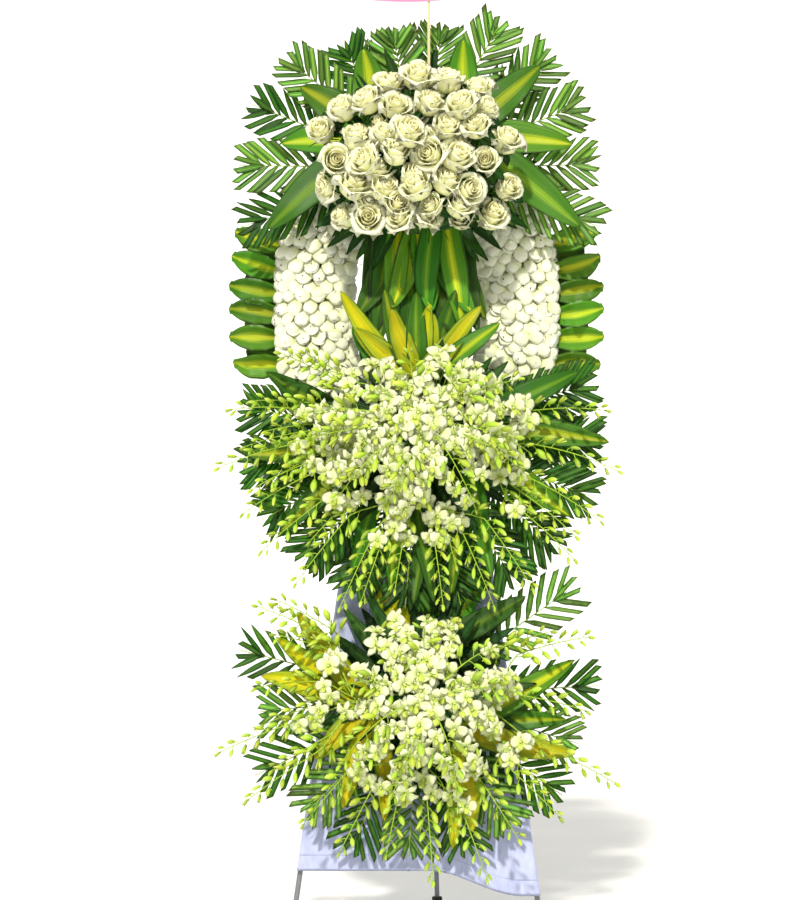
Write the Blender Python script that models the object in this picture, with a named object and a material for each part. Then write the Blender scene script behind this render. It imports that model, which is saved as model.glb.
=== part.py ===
"""Funeral flower stand: a steel easel that carries an oval white wreath, a dome of roses and two orchid sprays.

Units are metres. +X is to the viewer's right, +Y is away from the viewer and +Z is up.
The flowers and the front legs lean back together. They are laid out in the display's own frame, whose origin
is on the floor midway between the front feet, and an empty called display tilts them.
"""

import math
import random

import bmesh
import bpy
from mathutils import Matrix, Vector

# Driving dimensions of the easel
LEAN = math.radians(6.5)
GAP = 0.0003  # running gap between touching pieces
ROD_RADIUS = 0.006
LEG_FOOT_X = 0.285
LEG_TOP_X = 0.022
LEG_TOP_Z = 1.84
FOOT_RADIUS = 0.013
FOOT_HEIGHT = 0.016
REAR_REACH = 0.50  # how far the rear foot stands behind the apex
REAR_FOOT_X = 0.055  # the rear leg is set down a little to the right
RAIL_Y = -(2 * ROD_RADIUS + GAP)
RAILS = {"rail_hem": 0.200, "rail_lower_spray": 0.572, "rail_wreath_foot": 1.182, "rail_wreath_head": 1.705}
RAIL_OVERHANG = 0.004
APEX_PLATE = (0.075, 0.005, 0.045)
APEX_PLATE_DROP = 0.010  # how far its upper edge stands below the tops of the legs

# The cloth skirt
CLOTH_TOP = 0.900
CLOTH_HEM = 0.188
CLOTH_THICKNESS = 0.0015
CLOTH_FLAP_DROP = 0.055
CLOTH_EDGE_Y = 0.009  # how far behind the legs' centres its side edges end
CLOTH_CORNER = 0.0025  # how far behind its front the sheet has turned the corner
CLOTH_FOLD = 0.006
CLOTH_FOLD_TOP = 0.40
CLOTH_FOLD_FADE = 0.18
CLOTH_FOLDS = 3

# The oval wreath, a rounded oblong ring of foam with petals pinned on its front
WREATH_Z = 1.455
WREATH_HALF_WIDTH = 0.229
WREATH_HALF_HEIGHT = 0.273
WREATH_SQUARENESS = 3.0
WREATH_BAND = 0.074
WREATH_BACK = RAIL_Y - ROD_RADIUS - GAP
WREATH_SHOULDER = WREATH_BACK - 0.022
WREATH_FRONT = WREATH_BACK - 0.0395
WREATH_STATIONS = 24
PETAL_BAND = 0.089
PETAL_FRONT = WREATH_BACK - 0.057
PETAL_RISE = 0.011
PETAL_ROWS = 25
PETAL_COLUMNS = 9
PETAL_EDGE = WREATH_BACK - 0.020
PETAL_SIDE_ROOM = 0.005
# Each side's petals: node, and the arc in degrees that they cover, clear of the foam discs above and below
WREATH_PETALS = (("wreath_petals_right", -64, 64), ("wreath_petals_left", 116, 244))

# Florists' foam discs and the stem layers that enter their sides, counted from the disc's back
FOAM_RADIUS = 0.100
FOAM_SIDES = 12
LAYERS = {"palm_back": 0.043, "palm_front": 0.059, "leaf_back": 0.075, "leaf_front": 0.091, "spray": 0.122}
FOAM_DEPTH = 0.146
PEG = 0.010
PEG_SUNK = 0.026
PEG_PROUD = 0.020
PEG_HOLE_MORE = 0.010  # how far a peg's cutter stands out past the peg
STICK_HOLE_DEEPER = 0.001
CUP = 0.30  # how strongly a fan curves towards the viewer

# Hub of each tier: x, z and the plane that the back of its foam rests on
CLOTH_FRONT = WREATH_BACK - CLOTH_THICKNESS
TIERS = {
    "top": (0.004, 1.757, WREATH_FRONT - GAP),
    "middle": (0.008, 1.152, WREATH_FRONT - GAP),
    "lower": (0.006, 0.574, CLOTH_FRONT - GAP),
}

# Palm fronds: bunch name, tier, layer, peg angle, then (angle, reach from the hub) of each frond
PALMS = (
    ("palm_top_left_back", "top", "palm_back", 160, ((200, 0.43), (160, 0.41), (122, 0.335))),
    ("palm_top_right_back", "top", "palm_back", 40, ((80, 0.33), (40, 0.40), (0, 0.41))),
    ("palm_top_left_front", "top", "palm_front", 140, ((181, 0.41), (141, 0.39), (101, 0.32))),
    ("palm_top_right_front", "top", "palm_front", 20, ((60, 0.385), (20, 0.405), (-20, 0.44))),
    ("palm_middle_left_back", "middle", "palm_back", 209, ((172, 0.41), (209, 0.41), (246, 0.40))),
    ("palm_middle_right_back", "middle", "palm_back", 318, ((283, 0.40), (320, 0.41), (357, 0.41))),
    ("palm_middle_left_front", "middle", "palm_front", 228, ((191, 0.41), (228, 0.40), (265, 0.40))),
    ("palm_middle_right_front", "middle", "palm_front", 338, ((302, 0.41), (339, 0.42), (376, 0.41))),
    ("palm_lower_left_back", "lower", "palm_back", 206, ((166, 0.42), (206, 0.41), (246, 0.38))),
    ("palm_lower_right_back", "lower", "palm_back", 325, ((287, 0.37), (325, 0.39), (363, 0.40))),
    ("palm_lower_left_front", "lower", "palm_front", 226, ((186, 0.36), (226, 0.37), (266, 0.36))),
    ("palm_lower_right_front", "lower", "palm_front", 340, ((306, 0.36), (343, 0.37), (395, 0.43))),
)
FROND_START = 0.135
FROND_HALF_WIDTH = 0.066
FROND_LEAFLETS = 6
FROND_RIB = 0.0024
LEAFLET_SLANT = math.radians(42)
LEAFLET_SWEEP = 0.62  # share of the slant that a leaflet's tip keeps
BLUNT_END = (0.16, 0.84)  # where a trimmed leaflet's end begins and stops, as shares of its pitch
FROND_TIP = 0.006

# Broad striped leaves: bunch name, tier, layer, peg angle, then (angle, reach, width) of each leaf
LEAVES = (
    (
        "leaves_top_left",
        "top",
        "leaf_back",
        152,
        ((205, 0.370, 0.080), (172, 0.310, 0.080), (147, 0.315, 0.085), (115, 0.285, 0.088)),
    ),
    (
        "leaves_top_right",
        "top",
        "leaf_front",
        33,
        ((70, 0.290, 0.080), (38, 0.345, 0.080), (6, 0.345, 0.080), (-23, 0.390, 0.085)),
    ),
    (
        "leaves_hanging_back",
        "top",
        "palm_front",
        274,
        ((249, 0.375, 0.074), (265, 0.405, 0.074), (281, 0.405, 0.074), (298, 0.395, 0.070)),
    ),
    (
        "leaves_hanging_front",
        "top",
        "leaf_back",
        274,
        ((260, 0.340, 0.066), (274, 0.345, 0.068), (289, 0.370, 0.066)),
    ),
    (
        "leaves_standing",
        "middle",
        "leaf_front",
        92,
        ((123, 0.270, 0.056), (104, 0.275, 0.052), (84, 0.265, 0.058), (65, 0.275, 0.056)),
    ),
    ("leaves_middle_right", "middle", "leaf_back", 0, ((20, 0.370, 0.064), (-4, 0.415, 0.066), (-30, 0.380, 0.060))),
    ("leaves_middle_left", "middle", "leaf_back", 196, ((160, 0.365, 0.062), (188, 0.385, 0.064), (216, 0.380, 0.060))),
    ("leaves_lower_up", "lower", "leaf_back", 88, ((113, 0.265, 0.056), (88, 0.275, 0.062), (60, 0.280, 0.062))),
    ("leaves_lower_left", "lower", "leaf_front", 190, ((146, 0.325, 0.056), (173, 0.350, 0.058), (211, 0.270, 0.054))),
    ("leaves_lower_right", "lower", "leaf_front", 320, ((12, 0.345, 0.058), (339, 0.362, 0.058), (291, 0.320, 0.056))),
)
LEAF_THICKNESS = 0.0022
LEAF_STAGGER = 0.0022
STATIONS = (0.0, 0.34, 0.76)  # where along a leaf its outline has points
LEAF_FOLD = 0.16  # how far a leaf's edges stand in front of its midrib, as a share of its half width

# Striped leaves round the wreath's outer rim: node and the station in the middle of its strip
RIM_LEAVES = (("leaves_rim_right", 0), ("leaves_rim_left", WREATH_STATIONS // 2))
RIM_LEAF_COUNT = 6
RIM_LEAF_WIDTH = 0.056
RIM_LEAF_REACH = 0.120
RIM_LEAF_Y = WREATH_BACK - 0.0095
RIM_LEAF_RISE = 0.16  # how far each leaf points upwards for its way out
RIM_LEAF_TURN = math.radians(18)
RIM_LEAF_ROOT = 0.012
RIM_LEAF_SUNK = 0.002
RIM_STATIONS = (0.0, 0.45, 0.86)
RIM_STRIP = 0.0042

# The rose dome: half of an ellipsoid, with rows of blooms from top to bottom
DOME_CENTRE = Vector((0.004, -0.228, 1.757))
DOME_HALF = Vector((0.226, 0.125, 0.184))
ROSE_RADIUS = 0.0302
ROSE_STEM = 0.0026
# Bunch, height of its row over the dome's centre, how much the row curves up at its ends, and x of each bloom
ROSE_ROWS = (
    ("roses_row_1", 0.156, -0.80, (-0.068, -0.002, 0.062, 0.128)),
    ("roses_row_2", 0.097, -0.40, (-0.166, -0.104, -0.037, 0.028, 0.092, 0.155)),
    ("roses_row_3", 0.037, 0.0, (-0.200, -0.137, -0.071, -0.005, 0.060, 0.124, 0.192)),
    ("roses_row_4", -0.024, 0.0, (-0.170, -0.104, -0.038, 0.028, 0.092, 0.158)),
    ("roses_row_5", -0.085, 0.20, (-0.196, -0.136, -0.070, -0.004, 0.061, 0.126, 0.192)),
    ("roses_row_6", -0.147, 0.35, (-0.166, -0.103, -0.037, 0.029, 0.095, 0.160)),
)
ROSE_PEG_PITCH = 0.028
# Whorls of a rose: its reach, its height, how far its petals' middles stand out and up, and 1 or -1 by turns
ROSE_WHORLS = ((0.96, 0.02, 0.07, 0.14, 1), (0.60, 0.04, 0.00, 0.00, 1), (0.50, 0.44, 0.10, 0.14, -1))

# Orchid heads: node, tier, centre offset, half sizes of the dome, florets, seed
HEADS = (
    ("orchids_middle_head", "middle", (0.006, 0.006), (0.215, 0.085, 0.150), 22, 11),
    ("orchids_lower_head", "lower", (0.014, -0.012), (0.180, 0.085, 0.172), 22, 23),
)
FLORET_RADIUS = 0.040
FLORET_STEM = 0.0022
CORE_SHARE = 0.62  # size of the closed core under the florets
# Rings of the core: share of its width, share of its depth
CORE_RINGS = ((0.92, 0.0), (1.0, 0.35), (0.62, 0.85))
CORE_SIDES = 10
HEAD_START = 0.020  # how far the heads' florets start in front of the foam

# Orchid sprays in bud: bunch, tier, peg angle, then (angle, reach, droop) of each stem
SPRAYS = (
    ("spray_middle_left", "middle", 186, ((148, 0.36, 0.03), (168, 0.42, 0.05), (184, 0.44, 0.06), (200, 0.41, 0.05))),
    (
        "spray_middle_low",
        "middle",
        259,
        ((215, 0.42, 0.03), (230, 0.42, 0.02), (246, 0.43, 0.00), (261, 0.36, 0.00), (277, 0.39, 0.00))
        + ((292, 0.42, 0.00), (306, 0.41, 0.02)),
    ),
    ("spray_middle_right", "middle", 345, ((322, 0.42, 0.03), (338, 0.42, 0.05), (355, 0.43, 0.06), (372, 0.41, 0.05))),
    ("spray_lower_left", "lower", 186, ((147, 0.42, 0.04), (170, 0.36, 0.05), (190, 0.44, 0.05), (208, 0.42, 0.03))),
    (
        "spray_lower_low",
        "lower",
        264,
        ((226, 0.36, 0.02), (243, 0.38, 0.00), (258, 0.35, 0.00), (274, 0.40, 0.00), (290, 0.42, 0.00))
        + ((306, 0.36, 0.02),),
    ),
    ("spray_lower_right", "lower", 350, ((322, 0.38, 0.03), (339, 0.45, 0.03), (362, 0.36, 0.05), (384, 0.40, 0.04))),
)
SPRAY_STEM = 0.0024
SPRAY_BULGE = 0.055
SPRAY_FREE_RADIUS = 0.215
BUD_LENGTH = 0.046
BUD_RADIUS = 0.0100
SPRAY_STATIONS = (0.0, 0.20, 0.52, 0.57, 0.74, 0.79, 0.88, 0.97)
BUD_SEGMENTS = {2: 1.0, 4: 0.8}

# The card on its stick
STICK_X = 0.027
STICK_RADIUS = 0.0035
STICK_TOP = 2.298
CARD_X = -0.022
CARD_Z = 2.212
CARD_HALF_WIDTH = 0.280
CARD_HALF_HEIGHT = 0.100
CARD_THICKNESS = 0.004
CARD_SIDES = 28

# sRGB colours, roughness and metallic value of each material
FINISHES = {
    "grey_painted_steel": ("7C7F84", 0.45, 0.6),
    "black_rubber": ("1E1E1F", 0.8, 0.0),
    "lavender_cloth": ("D9DBF2", 0.85, 0.0),
    "green_foam": ("3F6B3A", 0.95, 0.0),
    "white_petal": ("F4F3EA", 0.6, 0.0),
    "cream_rose": ("F1EFCB", 0.55, 0.0),
    "orchid_white": ("F0F3E0", 0.5, 0.0),
    "orchid_bud": ("C4D66A", 0.5, 0.0),
    "palm_green": ("3E7A2A", 0.45, 0.0),
    "striped_leaf": ("5E9A2C", 0.4, 0.0),
    "yellow_leaf": ("C9B82A", 0.4, 0.0),
    "bamboo": ("DCC489", 0.55, 0.0),
    "pink_card": ("F2B9DF", 0.7, 0.0),
}


def linear(channel):
    """sRGB to linear, for one channel from 0 to 1."""
    return channel / 12.92 if channel <= 0.04045 else ((channel + 0.055) / 1.055) ** 2.4


def make_materials():
    made = {}
    for name, (code, roughness, metallic) in FINISHES.items():
        material = bpy.data.materials.new(name)
        material.use_nodes = True
        shader = material.node_tree.nodes["Principled BSDF"]
        rgb = [linear(int(code[i : i + 2], 16) / 255) for i in (0, 2, 4)]
        shader.inputs["Base Color"].default_value = (*rgb, 1.0)
        shader.inputs["Roughness"].default_value = roughness
        shader.inputs["Metallic"].default_value = metallic
        material.diffuse_color = (*rgb, 1.0)
        made[name] = material
    return made


def clear_scene():
    for obj in list(bpy.data.objects):
        bpy.data.objects.remove(obj, do_unlink=True)


def mesh_from(name, shape):
    """A closed mesh from (points, faces), with its faces turned outwards."""
    points, faces = shape
    mesh = bpy.data.meshes.new(name)
    mesh.from_pydata([tuple(p) for p in points], [], faces)
    work = bmesh.new()
    work.from_mesh(mesh)
    bmesh.ops.triangulate(work, faces=[f for f in work.faces if len(f.verts) > 4])
    bmesh.ops.recalc_face_normals(work, faces=work.faces[:])
    work.to_mesh(mesh)
    work.free()
    return mesh


def add_object(name, mesh, material, parent):
    mesh.materials.clear()
    mesh.materials.append(material)
    obj = bpy.data.objects.new(name, mesh)
    bpy.context.scene.collection.objects.link(obj)
    obj.parent = parent
    return obj


def add_solid(name, shape, material, parent, smooth=False):
    mesh = mesh_from(name, shape)
    if smooth:
        mesh.shade_smooth()
        mesh.set_sharp_from_angle(angle=math.radians(50))
    return add_object(name, mesh, material, parent)


def add_fused(name, shapes, material, parent):
    """One node from overlapping closed shapes, joined by a Boolean union that is then applied."""
    base = add_object(name, mesh_from(name, shapes[0]), material, parent)
    repeats = bpy.data.collections.new(name + "_repeats")
    bpy.context.scene.collection.children.link(repeats)
    for index, shape in enumerate(shapes[1:]):
        repeat = bpy.data.objects.new(f"{name}_repeat_{index}", mesh_from(name, shape))
        repeats.objects.link(repeat)
        repeat.parent = parent
    join = base.modifiers.new("join", "BOOLEAN")
    join.operation = "UNION"
    join.operand_type = "COLLECTION"
    join.collection = repeats
    join.solver = "MANIFOLD"
    bpy.context.view_layer.update()
    graph = bpy.context.evaluated_depsgraph_get()
    joined = bpy.data.meshes.new_from_object(base.evaluated_get(graph))
    base.modifiers.clear()
    base.data = joined
    joined.materials.clear()
    joined.materials.append(material)
    for repeat in list(repeats.objects):
        bpy.data.objects.remove(repeat, do_unlink=True)
    bpy.data.collections.remove(repeats)
    return base


def smooth_step(value):
    value = max(0.0, min(1.0, value))
    return value * value * (3 - 2 * value)


def across(direction):
    """Two unit vectors square to a direction and to each other."""
    side = direction.cross(Vector((0, 0, 1)))
    if side.length < 1e-3:
        side = Vector((1, 0, 0))
    side.normalize()
    return side, side.cross(direction).normalized()


def loft(rings, caps=True):
    """A closed skin over rings of points that all have the same count, or single points at its ends."""
    points, faces, starts = [], [], []
    for ring in rings:
        starts.append(len(points))
        points.extend(ring)
    for index in range(len(rings) - 1):
        first, second = rings[index], rings[index + 1]
        a, b = starts[index], starts[index + 1]
        count = max(len(first), len(second))
        for k in range(count):
            n = (k + 1) % count
            if len(first) == 1:
                faces.append((a, b + k, b + n))
            elif len(second) == 1:
                faces.append((a + k, b, a + n))
            else:
                faces.append((a + k, b + k, b + n, a + n))
    if caps:
        for ring, start in ((rings[0], starts[0]), (rings[-1], starts[-1])):
            if len(ring) > 2:
                faces.append(tuple(range(start, start + len(ring))))
    return points, faces


def tube(path, radii, sides, turn=0.0):
    """A tube along a list of points, with one radius for each point."""
    rings = []
    for index, point in enumerate(path):
        before = path[max(index - 1, 0)]
        after = path[min(index + 1, len(path) - 1)]
        side, up = across((after - before).normalized())
        ring = []
        for k in range(sides):
            angle = turn + 2 * math.pi * k / sides
            ring.append(point + (side * math.cos(angle) + up * math.sin(angle)) * radii[index])
        rings.append(ring)
    return loft(rings)


def slide_to_plane(points, direction, normal, level):
    """Points moved along a direction until their dot product with the normal is level."""
    return [p + direction * ((level - p.dot(normal)) / direction.dot(normal)) for p in points]


def rod_between(start, end, start_plane=None, end_plane=None, sides=8):
    """A round rod whose ends can be cut by planes, each given as (normal, level)."""
    direction = (end - start).normalized()
    side, up = across(direction)
    ring = [
        (side * math.cos(2 * math.pi * k / sides) + up * math.sin(2 * math.pi * k / sides)) * ROD_RADIUS
        for k in range(sides)
    ]
    first = [start + p for p in ring]
    last = [end + p for p in ring]
    if start_plane:
        first = slide_to_plane(first, direction, *start_plane)
    if end_plane:
        last = slide_to_plane(last, direction, *end_plane)
    return loft([first, last])


def to_world(point):
    """A point of the leaning display in the frame of the floor."""
    return Matrix.Rotation(-LEAN, 3, "X") @ Vector(point)


def leg_x(z):
    """Distance of a front leg's centre from the middle, at a height in the display's frame."""
    return LEG_FOOT_X + (LEG_TOP_X - LEG_FOOT_X) * z / LEG_TOP_Z


def disc(centre, radius, height, sides=10):
    bottom = [
        centre + Vector((radius * math.cos(2 * math.pi * k / sides), radius * math.sin(2 * math.pi * k / sides), 0))
        for k in range(sides)
    ]
    return loft([bottom, [p + Vector((0, 0, height)) for p in bottom]])


def box_shape(low, high):
    (x0, y0, z0), (x1, y1, z1) = low, high
    bottom = [Vector(p) for p in ((x0, y0, z0), (x1, y0, z0), (x1, y1, z0), (x0, y1, z0))]
    top = [Vector((p.x, p.y, z1)) for p in bottom]
    return loft([bottom, top])


def add_easel(root, display, steel, rubber):
    """Three rods, four rails, an apex plate and three rubber feet."""
    floor_cut = (Vector((0, 0, 1)), FOOT_HEIGHT + GAP)
    for name, side in (("left", -1), ("right", 1)):
        foot = to_world((side * LEG_FOOT_X, 0, 0))
        top = to_world((side * LEG_TOP_X, 0, LEG_TOP_Z))
        leg = rod_between(foot, top, start_plane=floor_cut)
        add_solid(f"front_leg_{name}", leg, steel, root, smooth=True)
        stand = foot + (top - foot) * (FOOT_HEIGHT / (top - foot).z)
        pad = disc(Vector((stand.x, stand.y, 0)), FOOT_RADIUS, FOOT_HEIGHT)
        add_solid(f"foot_{name}", pad, rubber, root)
    for name, z in RAILS.items():
        half = leg_x(z) + RAIL_OVERHANG
        rail = rod_between(Vector((-half, RAIL_Y, z)), Vector((half, RAIL_Y, z)))
        add_solid(name, rail, steel, display, smooth=True)
    width, depth, height = APEX_PLATE
    plate_front = ROD_RADIUS + GAP
    plate_z = LEG_TOP_Z - height - APEX_PLATE_DROP
    low = (-width / 2, plate_front, plate_z)
    high = (width / 2, plate_front + depth, plate_z + height)
    add_solid("apex_plate", box_shape(low, high), steel, display)
    plate_back = plate_front + depth + GAP
    rear_top = to_world((0, plate_back, plate_z + height / 2))
    rear_foot = Vector((REAR_FOOT_X, rear_top.y + REAR_REACH, 0))
    plate_normal = to_world((0, 1, 0))
    rear_leg = rod_between(rear_foot, rear_top, start_plane=floor_cut, end_plane=(plate_normal, plate_back))
    add_solid("rear_leg", rear_leg, steel, root, smooth=True)
    stand = rear_foot + (rear_top - rear_foot) * (FOOT_HEIGHT / (rear_top - rear_foot).z)
    pad = disc(Vector((stand.x, stand.y, 0)), FOOT_RADIUS, FOOT_HEIGHT)
    add_solid("foot_rear", pad, rubber, root)


def cloth_hem(share):
    """Height of the hem, where share runs from 0 at the left leg to 1 at the right one."""
    flap = max(0.0, (share - 0.55) / 0.45)
    return CLOTH_HEM - CLOTH_FLAP_DROP * math.sin(math.pi * min(1.0, flap * 1.15) * 0.5) ** 2


def cloth_folds(share, z):
    """How far the cloth stands out in soft folds, which start below the lower spray."""
    low = smooth_step((CLOTH_FOLD_TOP - z) / CLOTH_FOLD_FADE)
    return CLOTH_FOLD * low * (0.5 - 0.5 * math.cos(2 * math.pi * CLOTH_FOLDS * share))


def add_cloth(display, material):
    """A sheet across the fronts of the rails that turns back round both legs."""
    columns, levels = 13, (0.0, 0.66, 0.83, 1.0)
    middle_y = WREATH_BACK - CLOTH_THICKNESS / 2
    wrap = ROD_RADIUS + 2 * GAP + CLOTH_THICKNESS / 2
    front, back = [], []
    for level in levels:
        front_row, back_row = [], []
        for k in range(-2, columns + 2):
            share = min(1.0, max(0.0, k / (columns - 1)))
            z = CLOTH_TOP + (cloth_hem(share) - CLOTH_TOP) * level
            side = -1 if share < 0.5 else 1
            x = (leg_x(z) + RAIL_OVERHANG + 2 * GAP) * (2 * share - 1)
            y = middle_y - cloth_folds(share, z)
            normal = Vector((0, -1, 0))
            if k in (-1, columns):
                x, y = side * (leg_x(z) + wrap), middle_y + CLOTH_CORNER
                normal = Vector((side, -0.6, 0)).normalized()
            if k in (-2, columns + 1):
                x, y = side * (leg_x(z) + wrap), CLOTH_EDGE_Y
                normal = Vector((side, 0, 0))
            middle = Vector((x, y, z))
            front_row.append(middle + normal * CLOTH_THICKNESS / 2)
            back_row.append(middle - normal * CLOTH_THICKNESS / 2)
        front.append(front_row)
        back.append(back_row)
    add_solid("cloth_skirt", thick_grid(front, back), material, display, smooth=True)


def thick_grid(front, back):
    """A closed plate from two grids of points that match."""
    rows, columns = len(front), len(front[0])
    points = [p for row in front for p in row] + [p for row in back for p in row]
    offset = rows * columns
    faces = []
    for r in range(rows - 1):
        for c in range(columns - 1):
            a = r * columns + c
            quad = (a, a + 1, a + columns + 1, a + columns)
            for i, j, k in ((0, 1, 2), (0, 2, 3)):
                faces.append((quad[i], quad[j], quad[k]))
                faces.append((quad[k] + offset, quad[j] + offset, quad[i] + offset))
    rim = list(range(columns))
    rim += [r * columns + columns - 1 for r in range(1, rows)]
    rim += [(rows - 1) * columns + c for c in range(columns - 2, -1, -1)]
    rim += [r * columns for r in range(rows - 2, 0, -1)]
    for index, a in enumerate(rim):
        b = rim[(index + 1) % len(rim)]
        faces.append((a, a + offset, b + offset, b))
    return points, faces


def wreath_point(angle):
    """Centre line of the wreath's band and its outward direction, both in x and z."""
    power = 2.0 / WREATH_SQUARENESS
    c, s = math.cos(angle), math.sin(angle)
    x = WREATH_HALF_WIDTH * math.copysign(abs(c) ** power, c)
    z = WREATH_HALF_HEIGHT * math.copysign(abs(s) ** power, s)
    out_x = math.copysign(abs(x / WREATH_HALF_WIDTH) ** (WREATH_SQUARENESS - 1), x) / WREATH_HALF_WIDTH
    out_z = math.copysign(abs(z / WREATH_HALF_HEIGHT) ** (WREATH_SQUARENESS - 1), z) / WREATH_HALF_HEIGHT
    length = math.hypot(out_x, out_z)
    return x, z + WREATH_Z, out_x / length, out_z / length


def wreath_angles(first, last, count):
    """Angles whose points lie at even steps along the wreath's centre line, from first to last in degrees."""
    fine = [math.radians(first + (last - first) * k / 400) for k in range(401)]
    run = [0.0]
    for a, b in zip(fine, fine[1:]):
        pa, pb = wreath_point(a), wreath_point(b)
        run.append(run[-1] + math.hypot(pb[0] - pa[0], pb[1] - pa[1]))
    angles = []
    for k in range(count):
        target = run[-1] * k / (count - 1)
        index = min(range(len(run)), key=lambda i: abs(run[i] - target))
        angles.append(fine[index])
    return angles


def band_point(angle, offset, y):
    x, z, out_x, out_z = wreath_point(angle)
    return Vector((x + out_x * offset, y, z + out_z * offset))


def ring_stations():
    return wreath_angles(0, 360, WREATH_STATIONS + 1)[:-1]


def add_wreath_ring(display, foam):
    """The foam ring, with a flat back against the rails and a flat front that carries two foam discs."""
    flat = WREATH_BAND / 2
    profile = (
        (-WREATH_BAND, WREATH_BACK),
        (WREATH_BAND, WREATH_BACK),
        (WREATH_BAND, WREATH_SHOULDER),
        (flat, WREATH_FRONT),
        (-flat, WREATH_FRONT),
        (-WREATH_BAND, WREATH_SHOULDER),
    )
    rings = [[band_point(angle, w, y) for w, y in profile] for angle in ring_stations()]
    points, faces = loft(rings, caps=False)
    last, sides = (len(rings) - 1) * len(profile), len(profile)
    for k in range(sides):
        n = (k + 1) % sides
        faces.append((last + k, k, n, last + n))
    add_solid("wreath_foam_ring", (points, faces), foam, display)


def petal_cover(first, last, rows, columns):
    """Round petals in close-set rows over an arc of the ring, raised from a smooth cover.

    The outside's points form a staggered lattice in which every third one is the crown of a petal. The inside
    is a plain channel that clears the ring's front and sides.
    """
    clear = WREATH_BAND + PETAL_SIDE_ROOM
    shoulder = WREATH_SHOULDER - 2 * GAP
    flat = WREATH_BAND / 2 + PETAL_SIDE_ROOM
    front = WREATH_FRONT - 2 * GAP
    inside = (
        (-clear, PETAL_EDGE),
        (-clear, shoulder),
        (-flat, front),
        (flat, front),
        (clear, shoulder),
        (clear, PETAL_EDGE),
    )
    points, faces, starts = [], [], []
    for j, angle in enumerate(wreath_angles(first, last, rows)):
        starts.append(len(points))
        for i in range(columns):
            share = (i + (0.5 if j % 2 else 0.0)) / (columns - 0.5)
            turn = math.pi * share
            crown = 0 < i < columns - 1 and 0 < j < rows - 1 and (i - j // 2 - j) % 3 == 0
            rise = PETAL_RISE if crown else 0.0
            offset = math.cos(turn) * (PETAL_BAND + rise)
            depth = PETAL_EDGE - math.sin(turn) ** 0.8 * (PETAL_EDGE - PETAL_FRONT + rise)
            points.append(band_point(angle, offset, depth))
        points.extend(band_point(angle, offset, depth) for offset, depth in inside)
    count = columns + len(inside)
    for j in range(rows - 1):
        a, b = starts[j], starts[j + 1]
        for k in range(count):
            n = (k + 1) % count
            if j % 2:
                faces += [(a + k, a + n, b + n), (a + k, b + n, b + k)]
            else:
                faces += [(a + k, a + n, b + k), (a + n, b + n, b + k)]
    faces += [tuple(range(start, start + count)) for start in (starts[0], starts[-1])]
    return points, faces


def add_wreath_petals(display, material):
    for name, first, last in WREATH_PETALS:
        add_solid(name, petal_cover(first, last, PETAL_ROWS, PETAL_COLUMNS), material, display)


def disc_turn(angle):
    """Unit vector in the display's plane at an angle in degrees."""
    return Vector((math.cos(math.radians(angle)), 0, math.sin(math.radians(angle))))


def side_peg(tier, layer, angle, grow=0.0, end=0.0):
    """A square peg that stands in the side of a foam disc."""
    hub_x, hub_z, back = TIERS[tier]
    centre = Vector((hub_x, back - LAYERS[layer], hub_z))
    out = disc_turn(angle)
    sideways = disc_turn(angle + 90)
    half = PEG / 2 + grow
    inner = centre + out * (FOAM_RADIUS - PEG_SUNK - grow)
    outer = centre + out * (FOAM_RADIUS + PEG_PROUD + end)
    ring = [sideways * a + Vector((0, b, 0)) for a, b in ((-half, -half), (half, -half), (half, half), (-half, half))]
    return loft([[inner + p for p in ring], [outer + p for p in ring]])


def front_peg(tier, x, z, grow=0.0, end=0.0):
    """A square peg that stands in the front face of a foam disc."""
    hub_x, hub_z, back = TIERS[tier]
    face = back - FOAM_DEPTH
    half = PEG / 2 + grow
    low = (hub_x + x - half, face - PEG_PROUD - end, hub_z + z - half)
    high = (hub_x + x + half, face + PEG_SUNK + grow, hub_z + z + half)
    return box_shape(low, high)


def cup(tier, x, z):
    """How far every fan of a tier curves forward at a place, the same for all its layers."""
    hub_x, hub_z, _ = TIERS[tier]
    reach = math.hypot(x - hub_x, z - hub_z)
    return CUP * max(0.0, reach - FOAM_RADIUS) ** 2


def fan_point(tier, layer, x, z, lift):
    """A point of a fan, lift metres in front of its layer."""
    return Vector((x, TIERS[tier][2] - LAYERS[layer] - lift - cup(tier, x, z), z))


def frond_outline(share):
    """Half width of a trimmed frond as a share of its widest, from its first leaflet to its tip."""
    return 0.45 + 0.55 * math.sin(math.pi * (0.15 + 0.80 * share)) ** 0.8


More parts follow.
